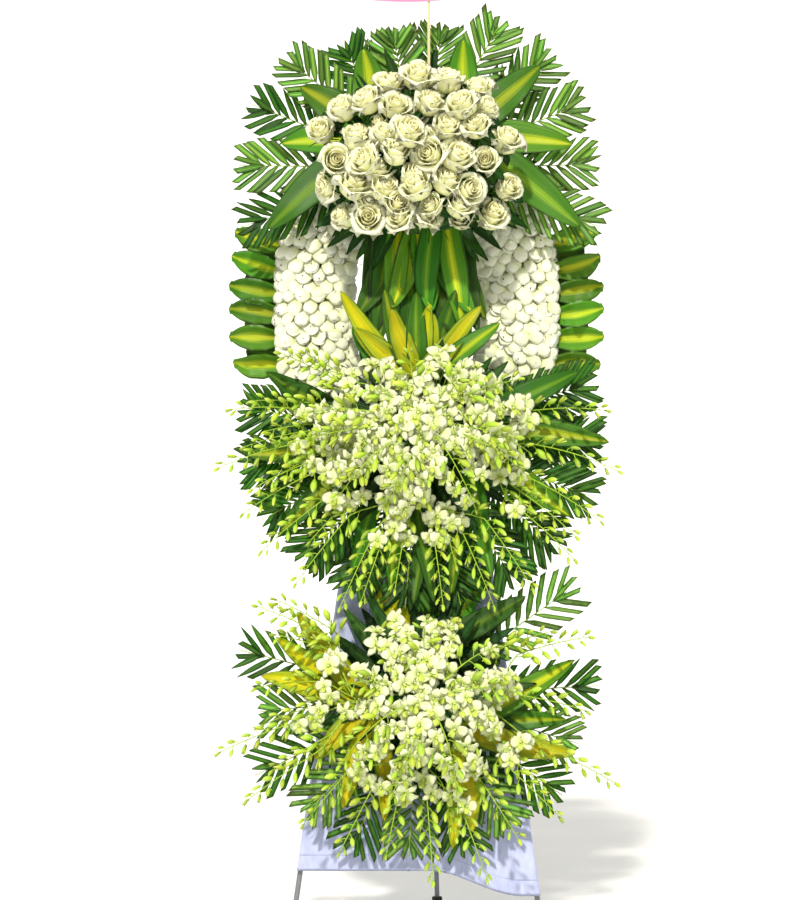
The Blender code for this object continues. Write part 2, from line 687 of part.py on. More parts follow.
def frond_shape(tier, layer, peg_angle, angle, reach, blunt):
    """A palm frond: a stalk from the peg, then a rib with blunt trimmed leaflets on both sides.

    Its leaflets are thick at the rib and thin out to their edges.
    """
    hub_x, hub_z, _ = TIERS[tier]
    hub = Vector((hub_x, 0, hub_z))
    out, sideways = disc_turn(angle), disc_turn(angle + 90)
    root = hub + disc_turn(peg_angle) * (FOAM_RADIUS + PEG_PROUD * 0.5)
    start = hub + out * FROND_START
    length = reach - FROND_START
    pitch = length / (FROND_LEAFLETS + 0.8)

    def place(along, aside, lift):
        p = start + out * along + sideways * aside
        return fan_point(tier, layer, p.x, p.z, lift)

    def leaflet_tip(along, side):
        width = FROND_HALF_WIDTH * frond_outline(along / length)
        lean = math.radians(90) - LEAFLET_SLANT
        return place(along + width * math.tan(lean) * LEAFLET_SWEEP, side * width, 0.0)

    points, faces = [], []

    def add(point):
        points.append(point)
        return len(points) - 1

    stalk_side = sideways * FROND_RIB
    base = [
        add(fan_point(tier, layer, root.x, root.z, FROND_RIB)),
        add(fan_point(tier, layer, *(root - stalk_side).xz, 0)),
        add(fan_point(tier, layer, root.x, root.z, -FROND_RIB)),
        add(fan_point(tier, layer, *(root + stalk_side).xz, 0)),
    ]
    faces.append(tuple(base))
    notches = {-1: [], 1: []}
    crowns, keels = [], []
    for k in range(FROND_LEAFLETS + 1):
        for side in (-1, 1):
            notches[side].append(add(place(k * pitch, side * FROND_RIB, 0)))
    for k in range(FROND_LEAFLETS):
        crowns.append(add(place((k + 0.5) * pitch, 0, FROND_RIB)))
        keels.append(add(place((k + 0.5) * pitch, 0, -FROND_RIB)))
    first = [crowns[0], notches[-1][0], keels[0], notches[1][0]]
    for k in range(4):
        n = (k + 1) % 4
        faces.append((base[k], base[n], first[n]))
        faces.append((base[k], first[n], first[k]))
    for side in (-1, 1):
        for k in range(FROND_LEAFLETS):
            low, high = notches[side][k], notches[side][k + 1]
            near = far = add(leaflet_tip((k + (BLUNT_END[0] if blunt else 0.5)) * pitch, side))
            if blunt:
                far = add(leaflet_tip((k + BLUNT_END[1]) * pitch, side))
            for line in (crowns, keels):
                faces.append((line[k], low, near))
                faces.append((line[k], far, high))
                if blunt:
                    faces.append((line[k], near, far))
                if k + 1 < FROND_LEAFLETS:
                    faces.append((line[k], high, line[k + 1]))
    tip_near = add(place(length, -FROND_TIP, 0))
    tip_far = add(place(length, FROND_TIP, 0))
    for line in (crowns, keels):
        faces.append((line[-1], notches[-1][-1], tip_near))
        faces.append((line[-1], tip_near, tip_far))
        faces.append((line[-1], tip_far, notches[1][-1]))
    return points, faces


def leaf_profile(share):
    """Half width of a strap leaf as a share of its widest, from nearly nothing at its root."""
    return math.sin(math.pi * (0.04 + 0.96 * share) ** 0.80) ** 0.75


def rim_profile(share):
    """As leaf_profile, for the blunt leaves of the rim."""
    return (1 - abs(2 * share - 1) ** 4) ** 0.5


def blade_shape(root, out, sideways, forward, length, width, profile=leaf_profile, narrow=0.006, stations=STATIONS):
    """A strap leaf with a folded midrib, from a narrow root to a pointed tip."""
    rings = []
    for share in stations:
        half = max(narrow, width / 2 * profile(share))
        middle = root + out * (length * share)
        edge = forward * (half * LEAF_FOLD)
        thick = forward * LEAF_THICKNESS / 2
        rings.append(
            [
                middle + sideways * half + edge,
                middle + thick,
                middle - sideways * half + edge,
                middle - thick,
            ]
        )
    return loft(rings + [[root + out * length]])


def fan_leaf_shape(tier, layer, peg_angle, order, angle, reach, width):
    """A strap leaf of a fan, bent to the fan's common curve so that it stays clear of the layers beside it.

    The leaves of a bunch lie at three depths in turn, so that those that cross do so cleanly.
    """
    hub_x, hub_z, back = TIERS[tier]
    hub = Vector((hub_x, back - LAYERS[layer] + (order % 3 - 1) * LEAF_STAGGER, hub_z))
    root = hub + disc_turn(peg_angle) * (FOAM_RADIUS + PEG_PROUD * 0.5)
    tip = hub + disc_turn(angle) * reach
    out = (tip - root).normalized()
    sideways = Vector((-out.z, 0, out.x))
    points, faces = blade_shape(root, out, sideways, Vector((0, -1, 0)), (tip - root).length, width)
    return [p - Vector((0, cup(tier, p.x, p.z), 0)) for p in points], faces


def add_fans(display, palm, striped, yellow):
    for name, tier, layer, peg_angle, fronds in PALMS:
        shapes = [side_peg(tier, layer, peg_angle)]
        blunt = layer == "palm_front"
        shapes += [frond_shape(tier, layer, peg_angle, angle, reach, blunt) for angle, reach in fronds]
        add_fused(name, shapes, palm, display)
    for name, tier, layer, peg_angle, leaves in LEAVES:
        shapes = [side_peg(tier, layer, peg_angle)]
        shapes += [fan_leaf_shape(tier, layer, peg_angle, order, *leaf) for order, leaf in enumerate(leaves)]
        material = yellow if name in ("leaves_lower_left", "leaves_lower_right") else striped
        add_fused(name, shapes, material, display)


def add_rim_leaves(display, material):
    """Leaves that stand out sideways from the wreath's rim, their roots caught by one thin binding strip."""
    stations = ring_stations()
    for name, middle in RIM_LEAVES:
        strip_angles = [stations[(middle + k) % WREATH_STATIONS] for k in (-2, -1, 0, 1, 2)]
        offset = WREATH_BAND + GAP + RIM_STRIP
        strip = [band_point(angle, offset, RIM_LEAF_Y) for angle in strip_angles]
        shapes = [tube(strip, [RIM_STRIP] * len(strip), 4)]
        for k in range(RIM_LEAF_COUNT):
            share = (k + 0.35) / (RIM_LEAF_COUNT - 0.3)
            root, along = along_path(strip, share)
            out = Vector((-along.z, 0, along.x))
            if out.x * root.x < 0:
                out = -out
            out = (out + Vector((0, 0, RIM_LEAF_RISE))).normalized()
            turn = Matrix.Rotation(math.copysign(RIM_LEAF_TURN, root.x), 3, out)
            sideways, forward = turn @ Vector((-out.z, 0, out.x)), turn @ Vector((0, -1, 0))
            size = (RIM_LEAF_REACH, RIM_LEAF_WIDTH, rim_profile, RIM_LEAF_ROOT, RIM_STATIONS)
            shapes.append(blade_shape(root - out * RIM_LEAF_SUNK, out, sideways, forward, *size))
        add_fused(name, shapes, material, display)


def along_path(path, share):
    """Point and direction at a share of a path's steps."""
    place = share * (len(path) - 1)
    index = min(int(place), len(path) - 2)
    return path[index].lerp(path[index + 1], place - index), (path[index + 1] - path[index]).normalized()


def rose_shape(centre, axis, radius, spin):
    """A rose: an outer whorl of five petals, an inner whorl turned between them, and a tight heart."""
    side, up = across(axis)
    rings = [[centre - axis * radius * 0.95]]
    count = 10
    for wide, high, lobe, rise, turned in ROSE_WHORLS:
        ring = []
        for k in range(count):
            wave = turned * math.cos(math.pi * k)
            angle = spin + 2 * math.pi * k / count
            reach = radius * (wide + lobe * wave)
            height = radius * (high + rise * wave)
            ring.append(centre + axis * height + (side * math.cos(angle) + up * math.sin(angle)) * reach)
        rings.append(ring)
    rings.append([centre + axis * radius * 0.62])
    return loft(rings)


def rose_places():
    """Bunch, and for each bloom its centre, axis and spin. The blooms sit on the dome and look outwards."""
    draw = random.Random(5)
    bunches = []
    for name, row_z, bend, columns in ROSE_ROWS:
        blooms = []
        for x in columns:
            z = row_z + bend * x * x
            flat = (x / DOME_HALF.x) ** 2 + (z / DOME_HALF.z) ** 2
            depth = math.sqrt(max(0.0, 1 - min(0.97, flat)))
            shift = Vector((draw.uniform(-1, 1) * 0.003, draw.uniform(-0.012, 0.004), draw.uniform(-1, 1) * 0.004))
            centre = DOME_CENTRE + Vector((x, -DOME_HALF.y * depth, z)) + shift
            normal = Vector((x / DOME_HALF.x**2, -depth / DOME_HALF.y, z / DOME_HALF.z**2)).normalized()
            axis = (normal * 0.75 + Vector((draw.uniform(-1, 1) * 0.12, -1, 0.12))).normalized()
            blooms.append((centre, axis, draw.uniform(0, math.pi)))
        bunches.append((name, blooms))
    return bunches


def rose_peg_height(index):
    """Height over the foam's middle of the peg that carries a row of roses. Row 0 is the top one."""
    return ROSE_PEG_PITCH * ((len(ROSE_ROWS) - 1) / 2 - index)


def add_roses(display, material):
    for index, (name, blooms) in enumerate(rose_places()):
        peg_z = rose_peg_height(index)
        hub_x, hub_z, back = TIERS["top"]
        face = back - FOAM_DEPTH
        start = Vector((hub_x, face - PEG_PROUD * 0.5, hub_z + peg_z))
        shapes = [front_peg("top", 0, peg_z)]
        for centre, axis, spin in blooms:
            shapes.append(rose_shape(centre, axis, ROSE_RADIUS, spin))
            shapes.append(tube([start, centre - axis * ROSE_RADIUS * 0.75], [ROSE_STEM] * 2, 3))
        add_fused(name, shapes, material, display)


def floret_shape(centre, axis, radius, spin):
    """An open orchid: five tepals round a raised lip, thick in the middle and thin at their edges."""
    side, up = across(axis)
    ring = []
    for k in range(10):
        reach = radius if k % 2 == 0 else radius * 0.42
        lift = radius * (-0.10 if k % 2 == 0 else 0.05)
        angle = spin + 2 * math.pi * k / 10
        ring.append(centre + axis * lift + (side * math.cos(angle) + up * math.sin(angle)) * reach)
    return loft([[centre - axis * radius * 0.16], ring, [centre + axis * radius * 0.30]])


def head_places(tier, offset, half, count, seed):
    """Florets of a dense head: an even spiral over half an ellipsoid, with a seeded draw for depth and tilt."""
    draw = random.Random(seed)
    hub_x, hub_z, back = TIERS[tier]
    base = Vector((hub_x + offset[0], back - FOAM_DEPTH - HEAD_START, hub_z + offset[1]))
    golden = math.pi * (3 - math.sqrt(5))
    florets = []
    for k in range(count):
        spread = math.sqrt((k + 0.5) / count)
        angle = k * golden
        flat = Vector((math.cos(angle) * spread, 0, math.sin(angle) * spread))
        depth = math.sqrt(max(0.0, 1 - spread * spread)) * draw.uniform(0.78, 1.0)
        centre = base + Vector((flat.x * half[0], -depth * half[1], flat.z * half[2]))
        normal = Vector((flat.x * 0.7, -0.55 - depth * 0.5, flat.z * 0.7)).normalized()
        tilt = Vector((draw.uniform(-0.3, 0.3), 0, draw.uniform(-0.35, 0.15)))
        florets.append((centre, (normal + tilt).normalized(), draw.uniform(0, math.pi)))
    return base, florets


def add_heads(display, material):
    for name, tier, offset, half, count, seed in HEADS:
        base, florets = head_places(tier, offset, half, count, seed)
        face = TIERS[tier][2] - FOAM_DEPTH - GAP
        rings = []
        for share, depth in CORE_RINGS:
            y = face - depth * half[1] * CORE_SHARE
            wide, high = half[0] * CORE_SHARE * share, half[2] * CORE_SHARE * share
            turns = [2 * math.pi * k / CORE_SIDES for k in range(CORE_SIDES)]
            rings.append([Vector((base.x + wide * math.cos(t), y, base.z + high * math.sin(t))) for t in turns])
        rings.append([Vector((base.x, face - half[1] * CORE_SHARE, base.z))])
        shapes = [loft(rings), front_peg(tier, offset[0], offset[1])]
        heart = Vector((base.x, face - half[1] * 0.2, base.z))
        for centre, axis, spin in florets:
            shapes.append(floret_shape(centre, axis, FLORET_RADIUS, spin))
            inner = heart + (centre - heart) * 0.30
            shapes.append(tube([inner, centre], [FLORET_STEM] * 2, 3))
        add_fused(name, shapes, material, display)


def spray_point(tier, peg_angle, angle, reach, droop, share):
    """A stem leaves its peg, swings to its own angle, then comes forward past the foam and droops."""
    hub_x, hub_z, back = TIERS[tier]
    begin = FOAM_RADIUS + PEG_PROUD * 0.4
    radius = begin + (reach - begin) * share
    turn = disc_turn(peg_angle + (angle - peg_angle) * smooth_step(share / 0.45))
    forward = SPRAY_BULGE * smooth_step((radius - SPRAY_FREE_RADIUS) / 0.15)
    return Vector(
        (
            hub_x + turn.x * radius,
            back - LAYERS["spray"] - forward,
            hub_z + turn.z * radius - droop * share * share,
        )
    )


def spray_shape(*stem):
    """A three-sided stem with two pairs of buds and one at its end, drawn as one skin."""
    points, faces, rings, middles, directions = [], [], [], [], []
    for share in SPRAY_STATIONS:
        point = spray_point(*stem, share)
        direction = (spray_point(*stem, share + 0.02) - spray_point(*stem, share - 0.02)).normalized()
        aside = direction.cross(Vector((0, -1, 0))).normalized()
        front = aside.cross(direction)
        radius = SPRAY_STEM * (1.0 - 0.35 * share)
        if share == SPRAY_STATIONS[-1]:
            radius = BUD_RADIUS * 0.8
        rings.append(len(points))
        middles.append(point)
        directions.append(direction)
        for turn in (0.0, 2 * math.pi / 3, 4 * math.pi / 3):
            points.append(point + (front * math.cos(turn) + aside * math.sin(turn)) * radius)
    faces.append((0, 1, 2))
    for index in range(len(rings) - 1):
        a, b = rings[index], rings[index + 1]
        for k in range(3):
            n = (k + 1) % 3
            quad = (a + k, a + n, b + n, b + k)
            if index in BUD_SEGMENTS and k != 1:
                centre = (middles[index] + middles[index + 1]) / 2
                add_bud(points, faces, quad, centre, directions[index], BUD_SEGMENTS[index])
            else:
                faces.append(quad)
    points.append(middles[-1] + directions[-1] * BUD_LENGTH * 0.5)
    faces += [(rings[-1] + k, rings[-1] + (k + 1) % 3, len(points) - 1) for k in range(3)]
    return points, faces


def add_bud(points, faces, quad, centre, direction, size):
    """A bud drawn out of one side of a stem: a drop that is widest past its middle."""
    outward = sum((points[k] for k in quad), Vector()) / 4 - centre
    outward = (outward - direction * outward.dot(direction)).normalized()
    lean = (outward + direction * 0.9 - Vector((0, 0, 0.25))).normalized()
    along = (direction - lean * direction.dot(lean)).normalized()
    across_bud = lean.cross(along)
    radius = BUD_RADIUS * size * 0.75
    middle = centre + lean * BUD_LENGTH * size * 0.6
    start = len(points)
    for k in quad:
        offset = points[k] - centre
        step = along * math.copysign(radius, offset.dot(along))
        points.append(middle + step + across_bud * math.copysign(radius, offset.dot(across_bud)))
    tip = len(points)
    points.append(centre + lean * BUD_LENGTH * size)
    for k in range(4):
        n = (k + 1) % 4
        faces.append((quad[k], quad[n], start + n, start + k))
        faces.append((start + k, start + n, tip))


def add_sprays(display, material):
    for name, tier, peg_angle, stems in SPRAYS:
        shapes = [side_peg(tier, "spray", peg_angle)]
        shapes += [spray_shape(tier, peg_angle, *stem) for stem in stems]
        add_fused(name, shapes, material, display)


def add_foams(display, material):
    """A disc of foam for each tier, with a plain hole for every peg and for the card's stick."""
    for tier, (hub_x, hub_z, back) in TIERS.items():
        rim = [disc_turn(360 * (k + 0.5) / FOAM_SIDES) * FOAM_RADIUS for k in range(FOAM_SIDES)]
        near = [Vector((hub_x, back - FOAM_DEPTH, hub_z)) + p for p in rim]
        far = [Vector((hub_x, back, hub_z)) + p for p in rim]
        block = add_solid(f"foam_{tier}", loft([near, far]), material, display)
        cutters = bpy.data.collections.new(f"holes_{tier}")
        cutters.hide_render = True
        bpy.context.scene.collection.children.link(cutters)
        holes = [side_peg(t, layer, a, GAP, PEG_HOLE_MORE) for _, t, layer, a, _ in PALMS + LEAVES if t == tier]
        holes += [side_peg(t, "spray", a, GAP, PEG_HOLE_MORE) for _, t, a, _ in SPRAYS if t == tier]
        holes += [front_peg(t, o[0], o[1], GAP, PEG_HOLE_MORE) for _, t, o, *_ in HEADS if t == tier]
        if tier == "top":
            heights = [rose_peg_height(k) for k in range(len(ROSE_ROWS))]
            holes += [front_peg(tier, 0, z, GAP, PEG_HOLE_MORE) for z in heights]
            above = hub_z + FOAM_RADIUS + PEG_HOLE_MORE
            holes.append(stick_shape(STICK_RADIUS + 2 * GAP, above, STICK_HOLE_DEEPER))
        for index, shape in enumerate(holes):
            cutter = bpy.data.objects.new(f"hole_{tier}_{index}", mesh_from("hole", shape))
            cutter.hide_render = True
            cutter.display_type = "WIRE"
            cutters.objects.link(cutter)
            cutter.parent = display
        cut = block.modifiers.new("holes", "BOOLEAN")
        cut.operation = "DIFFERENCE"
        cut.operand_type = "COLLECTION"
        cut.collection = cutters
        cut.solver = "MANIFOLD"


def stick_y():
    return TIERS["top"][2] - LAYERS["spray"]


def stick_shape(radius, top, deeper=0.0):
    bottom = TIERS["top"][1] + FOAM_RADIUS - PEG_SUNK - deeper
    return tube([Vector((STICK_X, stick_y(), bottom)), Vector((STICK_X, stick_y(), top))], [radius] * 2, 6)


def add_card(display, bamboo, card):
    add_solid("card_stick", stick_shape(STICK_RADIUS, STICK_TOP), bamboo, display, smooth=True)
    front = stick_y() - STICK_RADIUS - GAP - CARD_THICKNESS
    rim = []
    for k in range(CARD_SIDES):
        angle = 2 * math.pi * k / CARD_SIDES
        x = CARD_X + CARD_HALF_WIDTH * math.cos(angle)
        rim.append(Vector((x, front, CARD_Z + CARD_HALF_HEIGHT * math.sin(angle))))
    add_solid("message_card", loft([rim, [p + Vector((0, CARD_THICKNESS, 0)) for p in rim]]), card, display)


def centre_on_floor(root):
    """Moves the whole stand so that its bounding box is centred over the origin."""
    bpy.context.view_layer.update()
    low, high = Vector((9, 9, 9)), Vector((-9, -9, -9))
    for obj in bpy.data.objects:
        if obj.type != "MESH" or obj.hide_render:
            continue
        for vertex in obj.data.vertices:
            p = obj.matrix_world @ vertex.co
            low = Vector(map(min, low, p))
            high = Vector(map(max, high, p))
    root.location = (-(low.x + high.x) / 2, -(low.y + high.y) / 2, 0)


def main():
    clear_scene()
    finish = make_materials()
    root = bpy.data.objects.new("stand", None)
    display = bpy.data.objects.new("display", None)
    for empty in (root, display):
        bpy.context.scene.collection.objects.link(empty)
    display.parent = root
    display.rotation_euler = (-LEAN, 0, 0)
    add_easel(root, display, finish["grey_painted_steel"], finish["black_rubber"])
    add_cloth(display, finish["lavender_cloth"])
    add_wreath_ring(display, finish["green_foam"])
    add_wreath_petals(display, finish["white_petal"])
    add_foams(display, finish["green_foam"])
    add_fans(display, finish["palm_green"], finish["striped_leaf"], finish["yellow_leaf"])
    add_rim_leaves(display, finish["striped_leaf"])
    add_roses(display, finish["cream_rose"])
    add_heads(display, finish["orchid_white"])
    add_sprays(display, finish["orchid_bud"])
    add_card(display, finish["bamboo"], finish["pink_card"])
    centre_on_floor(root)


main()
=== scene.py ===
"""Looks of the funeral flower stand: every petal, floret, bud, leaflet and blade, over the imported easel.

Units are metres. The flowers are laid out in the display's own upright frame, whose origin is on the floor
midway between the front feet, and lean() turns that frame back and moves it to its place.
"""

import math
import random
from collections import namedtuple

import bpy
import numpy as np
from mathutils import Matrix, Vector


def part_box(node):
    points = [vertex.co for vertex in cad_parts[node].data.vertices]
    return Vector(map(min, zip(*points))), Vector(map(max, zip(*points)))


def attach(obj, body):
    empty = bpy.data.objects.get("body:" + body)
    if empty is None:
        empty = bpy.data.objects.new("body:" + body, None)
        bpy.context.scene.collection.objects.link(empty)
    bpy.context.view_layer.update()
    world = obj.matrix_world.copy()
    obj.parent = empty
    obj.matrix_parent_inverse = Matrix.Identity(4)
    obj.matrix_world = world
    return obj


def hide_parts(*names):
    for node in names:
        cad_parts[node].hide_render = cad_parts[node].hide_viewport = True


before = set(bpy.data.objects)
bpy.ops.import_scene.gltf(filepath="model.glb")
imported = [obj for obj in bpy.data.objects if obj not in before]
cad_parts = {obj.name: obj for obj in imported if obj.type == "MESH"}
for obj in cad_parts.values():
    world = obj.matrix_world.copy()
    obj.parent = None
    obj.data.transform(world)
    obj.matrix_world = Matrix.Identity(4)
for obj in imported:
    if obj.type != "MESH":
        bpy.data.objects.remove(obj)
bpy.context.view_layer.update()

# The easel and the lean of the whole display, as in the model
LEAN = math.radians(6.5)
GAP = 0.0003
ROD_RADIUS = 0.006
LEG_FOOT_X = 0.285
LEG_TOP_X = 0.022
LEG_TOP_Z = 1.84
FOOT_HEIGHT = 0.016
FOOT_RADIUS = 0.013
RAIL_Y = -(2 * ROD_RADIUS + GAP)
RAILS = {"rail_hem": 0.200, "rail_lower_spray": 0.572, "rail_wreath_foot": 1.182, "rail_wreath_head": 1.705}
RAIL_OVERHANG = 0.004

# The wreath's ring
WREATH_Z = 1.455
WREATH_HALF_WIDTH = 0.229
WREATH_HALF_HEIGHT = 0.273
WREATH_SQUARENESS = 3.0
WREATH_BAND = 0.074
WREATH_BACK = RAIL_Y - ROD_RADIUS - GAP
WREATH_FRONT = WREATH_BACK - 0.0395
WREATH_STATIONS = 24
PETAL_BAND = 0.089
PETAL_FRONT = WREATH_BACK - 0.057
PETAL_EDGE = WREATH_BACK - 0.020

# Foam discs, their stem layers and the curve that all fans share
FOAM_RADIUS = 0.100
FOAM_DEPTH = 0.146
LAYERS = {"palm_back": 0.043, "palm_front": 0.059, "leaf_back": 0.075, "leaf_front": 0.091, "spray": 0.122}
# How far a peg stands out of the foam, and where on it a bunch's stems meet
PEG_PROUD = 0.020
PEG_END = FOAM_RADIUS + PEG_PROUD * 0.5
CUP = 0.30
CLOTH_THICKNESS = 0.0015
TIERS = {
    "top": (0.004, 1.757, WREATH_FRONT - GAP),
    "middle": (0.008, 1.152, WREATH_FRONT - GAP),
    "lower": (0.006, 0.574, WREATH_BACK - CLOTH_THICKNESS - GAP),
}

Shape = namedtuple("Shape", "points faces uv tone")


def unit(vectors):
    """Vectors of length one, along the last axis."""
    vectors = np.asarray(vectors, float)
    return vectors / np.maximum(np.linalg.norm(vectors, axis=-1, keepdims=True), 1e-9)


def turned(vectors):
    """Directions of the upright display, leaned back."""
    v = np.asarray(vectors, float)
    c, s = math.cos(LEAN), math.sin(LEAN)
    return np.stack([v[..., 0], v[..., 1] * c + v[..., 2] * s, v[..., 2] * c - v[..., 1] * s], axis=-1)


def floor_shift():
    """How far the model's centring moved the stand, from where its left foot stands."""
    low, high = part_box("foot_left")
    rise = turned((LEG_FOOT_X - LEG_TOP_X, 0, LEG_TOP_Z))
    step = rise * FOOT_HEIGHT / rise[2]
    return np.array([(low.x + high.x) / 2 + LEG_FOOT_X - step[0], (low.y + high.y) / 2 - step[1], 0.0])


SHIFT = floor_shift()


def lean(points):
    """Points of the upright display, leaned back and moved to their place."""
    return turned(points) + SHIFT


def stood(points):
    """Points of a frame that stands upright with the floor, moved to their place."""
    return np.asarray(points, float) + SHIFT


def smooth_step(value):
    """0 below 0, 1 above 1, and a soft rise between them."""
    value = np.clip(value, 0.0, 1.0)
    return value * value * (3 - 2 * value)


def disc_turn(angle):
    """Unit vector in the display's plane at an angle in degrees."""
    return np.array([math.cos(math.radians(angle)), 0.0, math.sin(math.radians(angle))])


def cup(tier, x, z):
    """How far every fan of a tier curves forward at a place."""
    hub_x, hub_z, _ = TIERS[tier]
    return CUP * np.maximum(0.0, np.hypot(x - hub_x, z - hub_z) - FOAM_RADIUS) ** 2


def fan_point(tier, layer, point, lift=0.0):
    """A point of a fan, lift metres in front of its layer."""
    y = TIERS[tier][2] - LAYERS[layer] - lift - cup(tier, point[0], point[2])
    return np.array([point[0], y, point[2]])


# Thin shapes


def skin(grid, thick, tone=0.0):
    """A closed blade round a grid of points (rows, columns, 3): two faces that share their rim."""
    rows, columns = grid.shape[:2]
    normal = unit(np.cross(np.gradient(grid, axis=1), np.gradient(grid, axis=0)))
    inner = (slice(1, -1), slice(1, -1))
    front, back = grid.copy(), grid - normal * thick / 2
    front[inner] += normal[inner] * thick / 2
    along, across = np.meshgrid(np.linspace(0, 1, rows), np.linspace(0, 1, columns), indexing="ij")
    uv = np.stack([across, along], axis=-1)
    top = np.arange(rows * columns).reshape(rows, columns)
    bottom = top.copy()
    bottom[inner] = rows * columns + np.arange((rows - 2) * (columns - 2)).reshape(rows - 2, columns - 2)
    quads = []
    for index, order in ((top, (0, 1, 2, 3)), (bottom, (3, 2, 1, 0))):
        corners = [index[:-1, :-1], index[:-1, 1:], index[1:, 1:], index[1:, :-1]]
        quads.append(np.stack([corners[k].ravel() for k in order], axis=1))
    points = np.concatenate([front.reshape(-1, 3), back[inner].reshape(-1, 3)])
    uv = np.concatenate([uv.reshape(-1, 2), uv[inner].reshape(-1, 2)])
    return Shape(points, [tuple(q) for q in np.concatenate(quads).tolist()], uv, np.full(len(points), tone))


def lathe(profile, sides, bend=0.0, tone=0.0):
    """A turned body along +Y with a pole at each end. bend carries its far end towards -Z."""
    profile = np.array(profile, float)
    turns = np.arange(sides) * 2 * math.pi / sides
    points, uv = [], []
    span = profile[-1, 1] - profile[0, 1]
    for radius, height in profile:
        share = (height - profile[0, 1]) / span
        drop = -bend * share * share
        if radius == 0:
            points.append((0.0, height, drop))
            uv.append((0.5, share))
            continue
        points.extend((radius * math.cos(t), height, drop + radius * math.sin(t)) for t in turns)
        uv.extend((t / (2 * math.pi), share) for t in turns)
    last = len(points) - 1
    faces = []
    for k in range(sides):
        n = (k + 1) % sides
        faces.append((0, 1 + k, 1 + n))
        for ring in range(len(profile) - 3):
            a, b = 1 + ring * sides, 1 + (ring + 1) * sides
            faces.append((a + k, b + k, b + n, a + n))
        faces.append((last, last - sides + n, last - sides + k))
    return Shape(np.array(points), faces, np.array(uv), np.full(len(points), tone))


def moved(shape, turn=None, offset=(0, 0, 0), size=1.0):
    """A shape scaled, turned by a 3 x 3 array and moved."""
    points = shape.points * size
    if turn is not None:
        points = points @ np.asarray(turn).T
    return shape._replace(points=points + np.asarray(offset, float))


def basis(along, facing):
    """A 3 x 3 array that turns +Y to along and +Z as near as it can to facing."""
    y = unit(along)
    x = unit(np.cross(y, facing))
    return np.stack([x, y, np.cross(x, y)], axis=1)


def linked(name, data):
    """A new object in the scene."""
    obj = bpy.data.objects.new(name, data)
    bpy.context.scene.collection.objects.link(obj)
    return obj


def store(mesh, name, kind, values):
    """Stores an attribute of a mesh's points."""
    field = "vector" if kind == "FLOAT_VECTOR" else "value"
    mesh.attributes.new(name, kind, "POINT").data.foreach_set(field, np.ravel(values))


def make_mesh(name, shapes, shades=None):
    """One smooth mesh of several shapes, with the UV map grain and the attributes tone and shade."""
    starts = np.cumsum([0] + [len(s.points) for s in shapes])
    points = np.concatenate([s.points for s in shapes])
    faces = [tuple(k + start for k in face) for s, start in zip(shapes, starts) for face in s.faces]
    mesh = bpy.data.meshes.new(name)
    mesh.from_pydata(points.tolist(), [], faces)
    corners = np.empty(len(mesh.loops), np.int32)
    mesh.loops.foreach_get("vertex_index", corners)
    uv = np.concatenate([s.uv for s in shapes])
    mesh.uv_layers.new(name="grain").data.foreach_set("uv", uv[corners].ravel())
    store(mesh, "tone", "FLOAT", np.concatenate([s.tone for s in shapes]))
    if shades is not None:
        store(mesh, "shade", "FLOAT", np.repeat(shades, [len(s.points) for s in shapes]))
    mesh.shade_smooth()
    return mesh


# Nodes


def linear(code):
    """A colour for a socket, from its sRGB hex code."""
    channels = [int(code[k : k + 2], 16) / 255 for k in (0, 2, 4)]
    return (*[c / 12.92 if c <= 0.04045 else ((c + 0.055) / 1.055) ** 2.4 for c in channels], 1.0)


def feed(node, **inputs):
    """Sets inputs of a node. Each is a value, a socket that feeds it, or a node whose first output does."""
    for key, value in inputs.items():
        socket = next(s for s in node.inputs if s.enabled and key in (s.identifier, s.name.replace(" ", "_")))
        if isinstance(value, bpy.types.Node):
            value = next(s for s in value.outputs if s.enabled)
        if isinstance(value, bpy.types.NodeSocket):
            node.id_data.links.new(value, socket)
        else:
            socket.default_value = value


def add(tree, kind, stops=(), **given):
    """Adds a node. Names given in lower case are its settings, the others its inputs, as for feed."""
    node = tree.nodes.new(kind if "Node" in kind else "ShaderNode" + kind)
    for key in filter(str.islower, given):
        setattr(node, key, given[key])
    for k, (place, code) in enumerate(stops):
        stop = node.color_ramp.elements[k] if k < 2 else node.color_ramp.elements.new(place)
        stop.position, stop.color = place, linear(code)
    feed(node, **{key: value for key, value in given.items() if not key.islower()})
    return node


def new_tree(name, **inputs):
    """A geometry node tree with a mesh in and out and more named inputs. Returns it with its input node."""
    tree = bpy.data.node_groups.new(name, "GeometryNodeTree")
    for key, kind in {"Geometry": "Geometry", **inputs}.items():
        tree.interface.new_socket(key, in_out="INPUT", socket_type="NodeSocket" + kind)
    tree.interface.new_socket("Geometry", in_out="OUTPUT", socket_type="NodeSocketGeometry")
    return tree, add(tree, "NodeGroupInput")


def end_tree(tree, given, geometry):
    """Ends a tree: its geometry as plain faces in the finish that it was given."""
    real = add(tree, "GeometryNodeRealizeInstances", Geometry=geometry)
    done = add(tree, "GeometryNodeSetMaterial", Geometry=real, Material=given.outputs["Finish"])
    add(tree, "NodeGroupOutput", Geometry=done)
    return tree


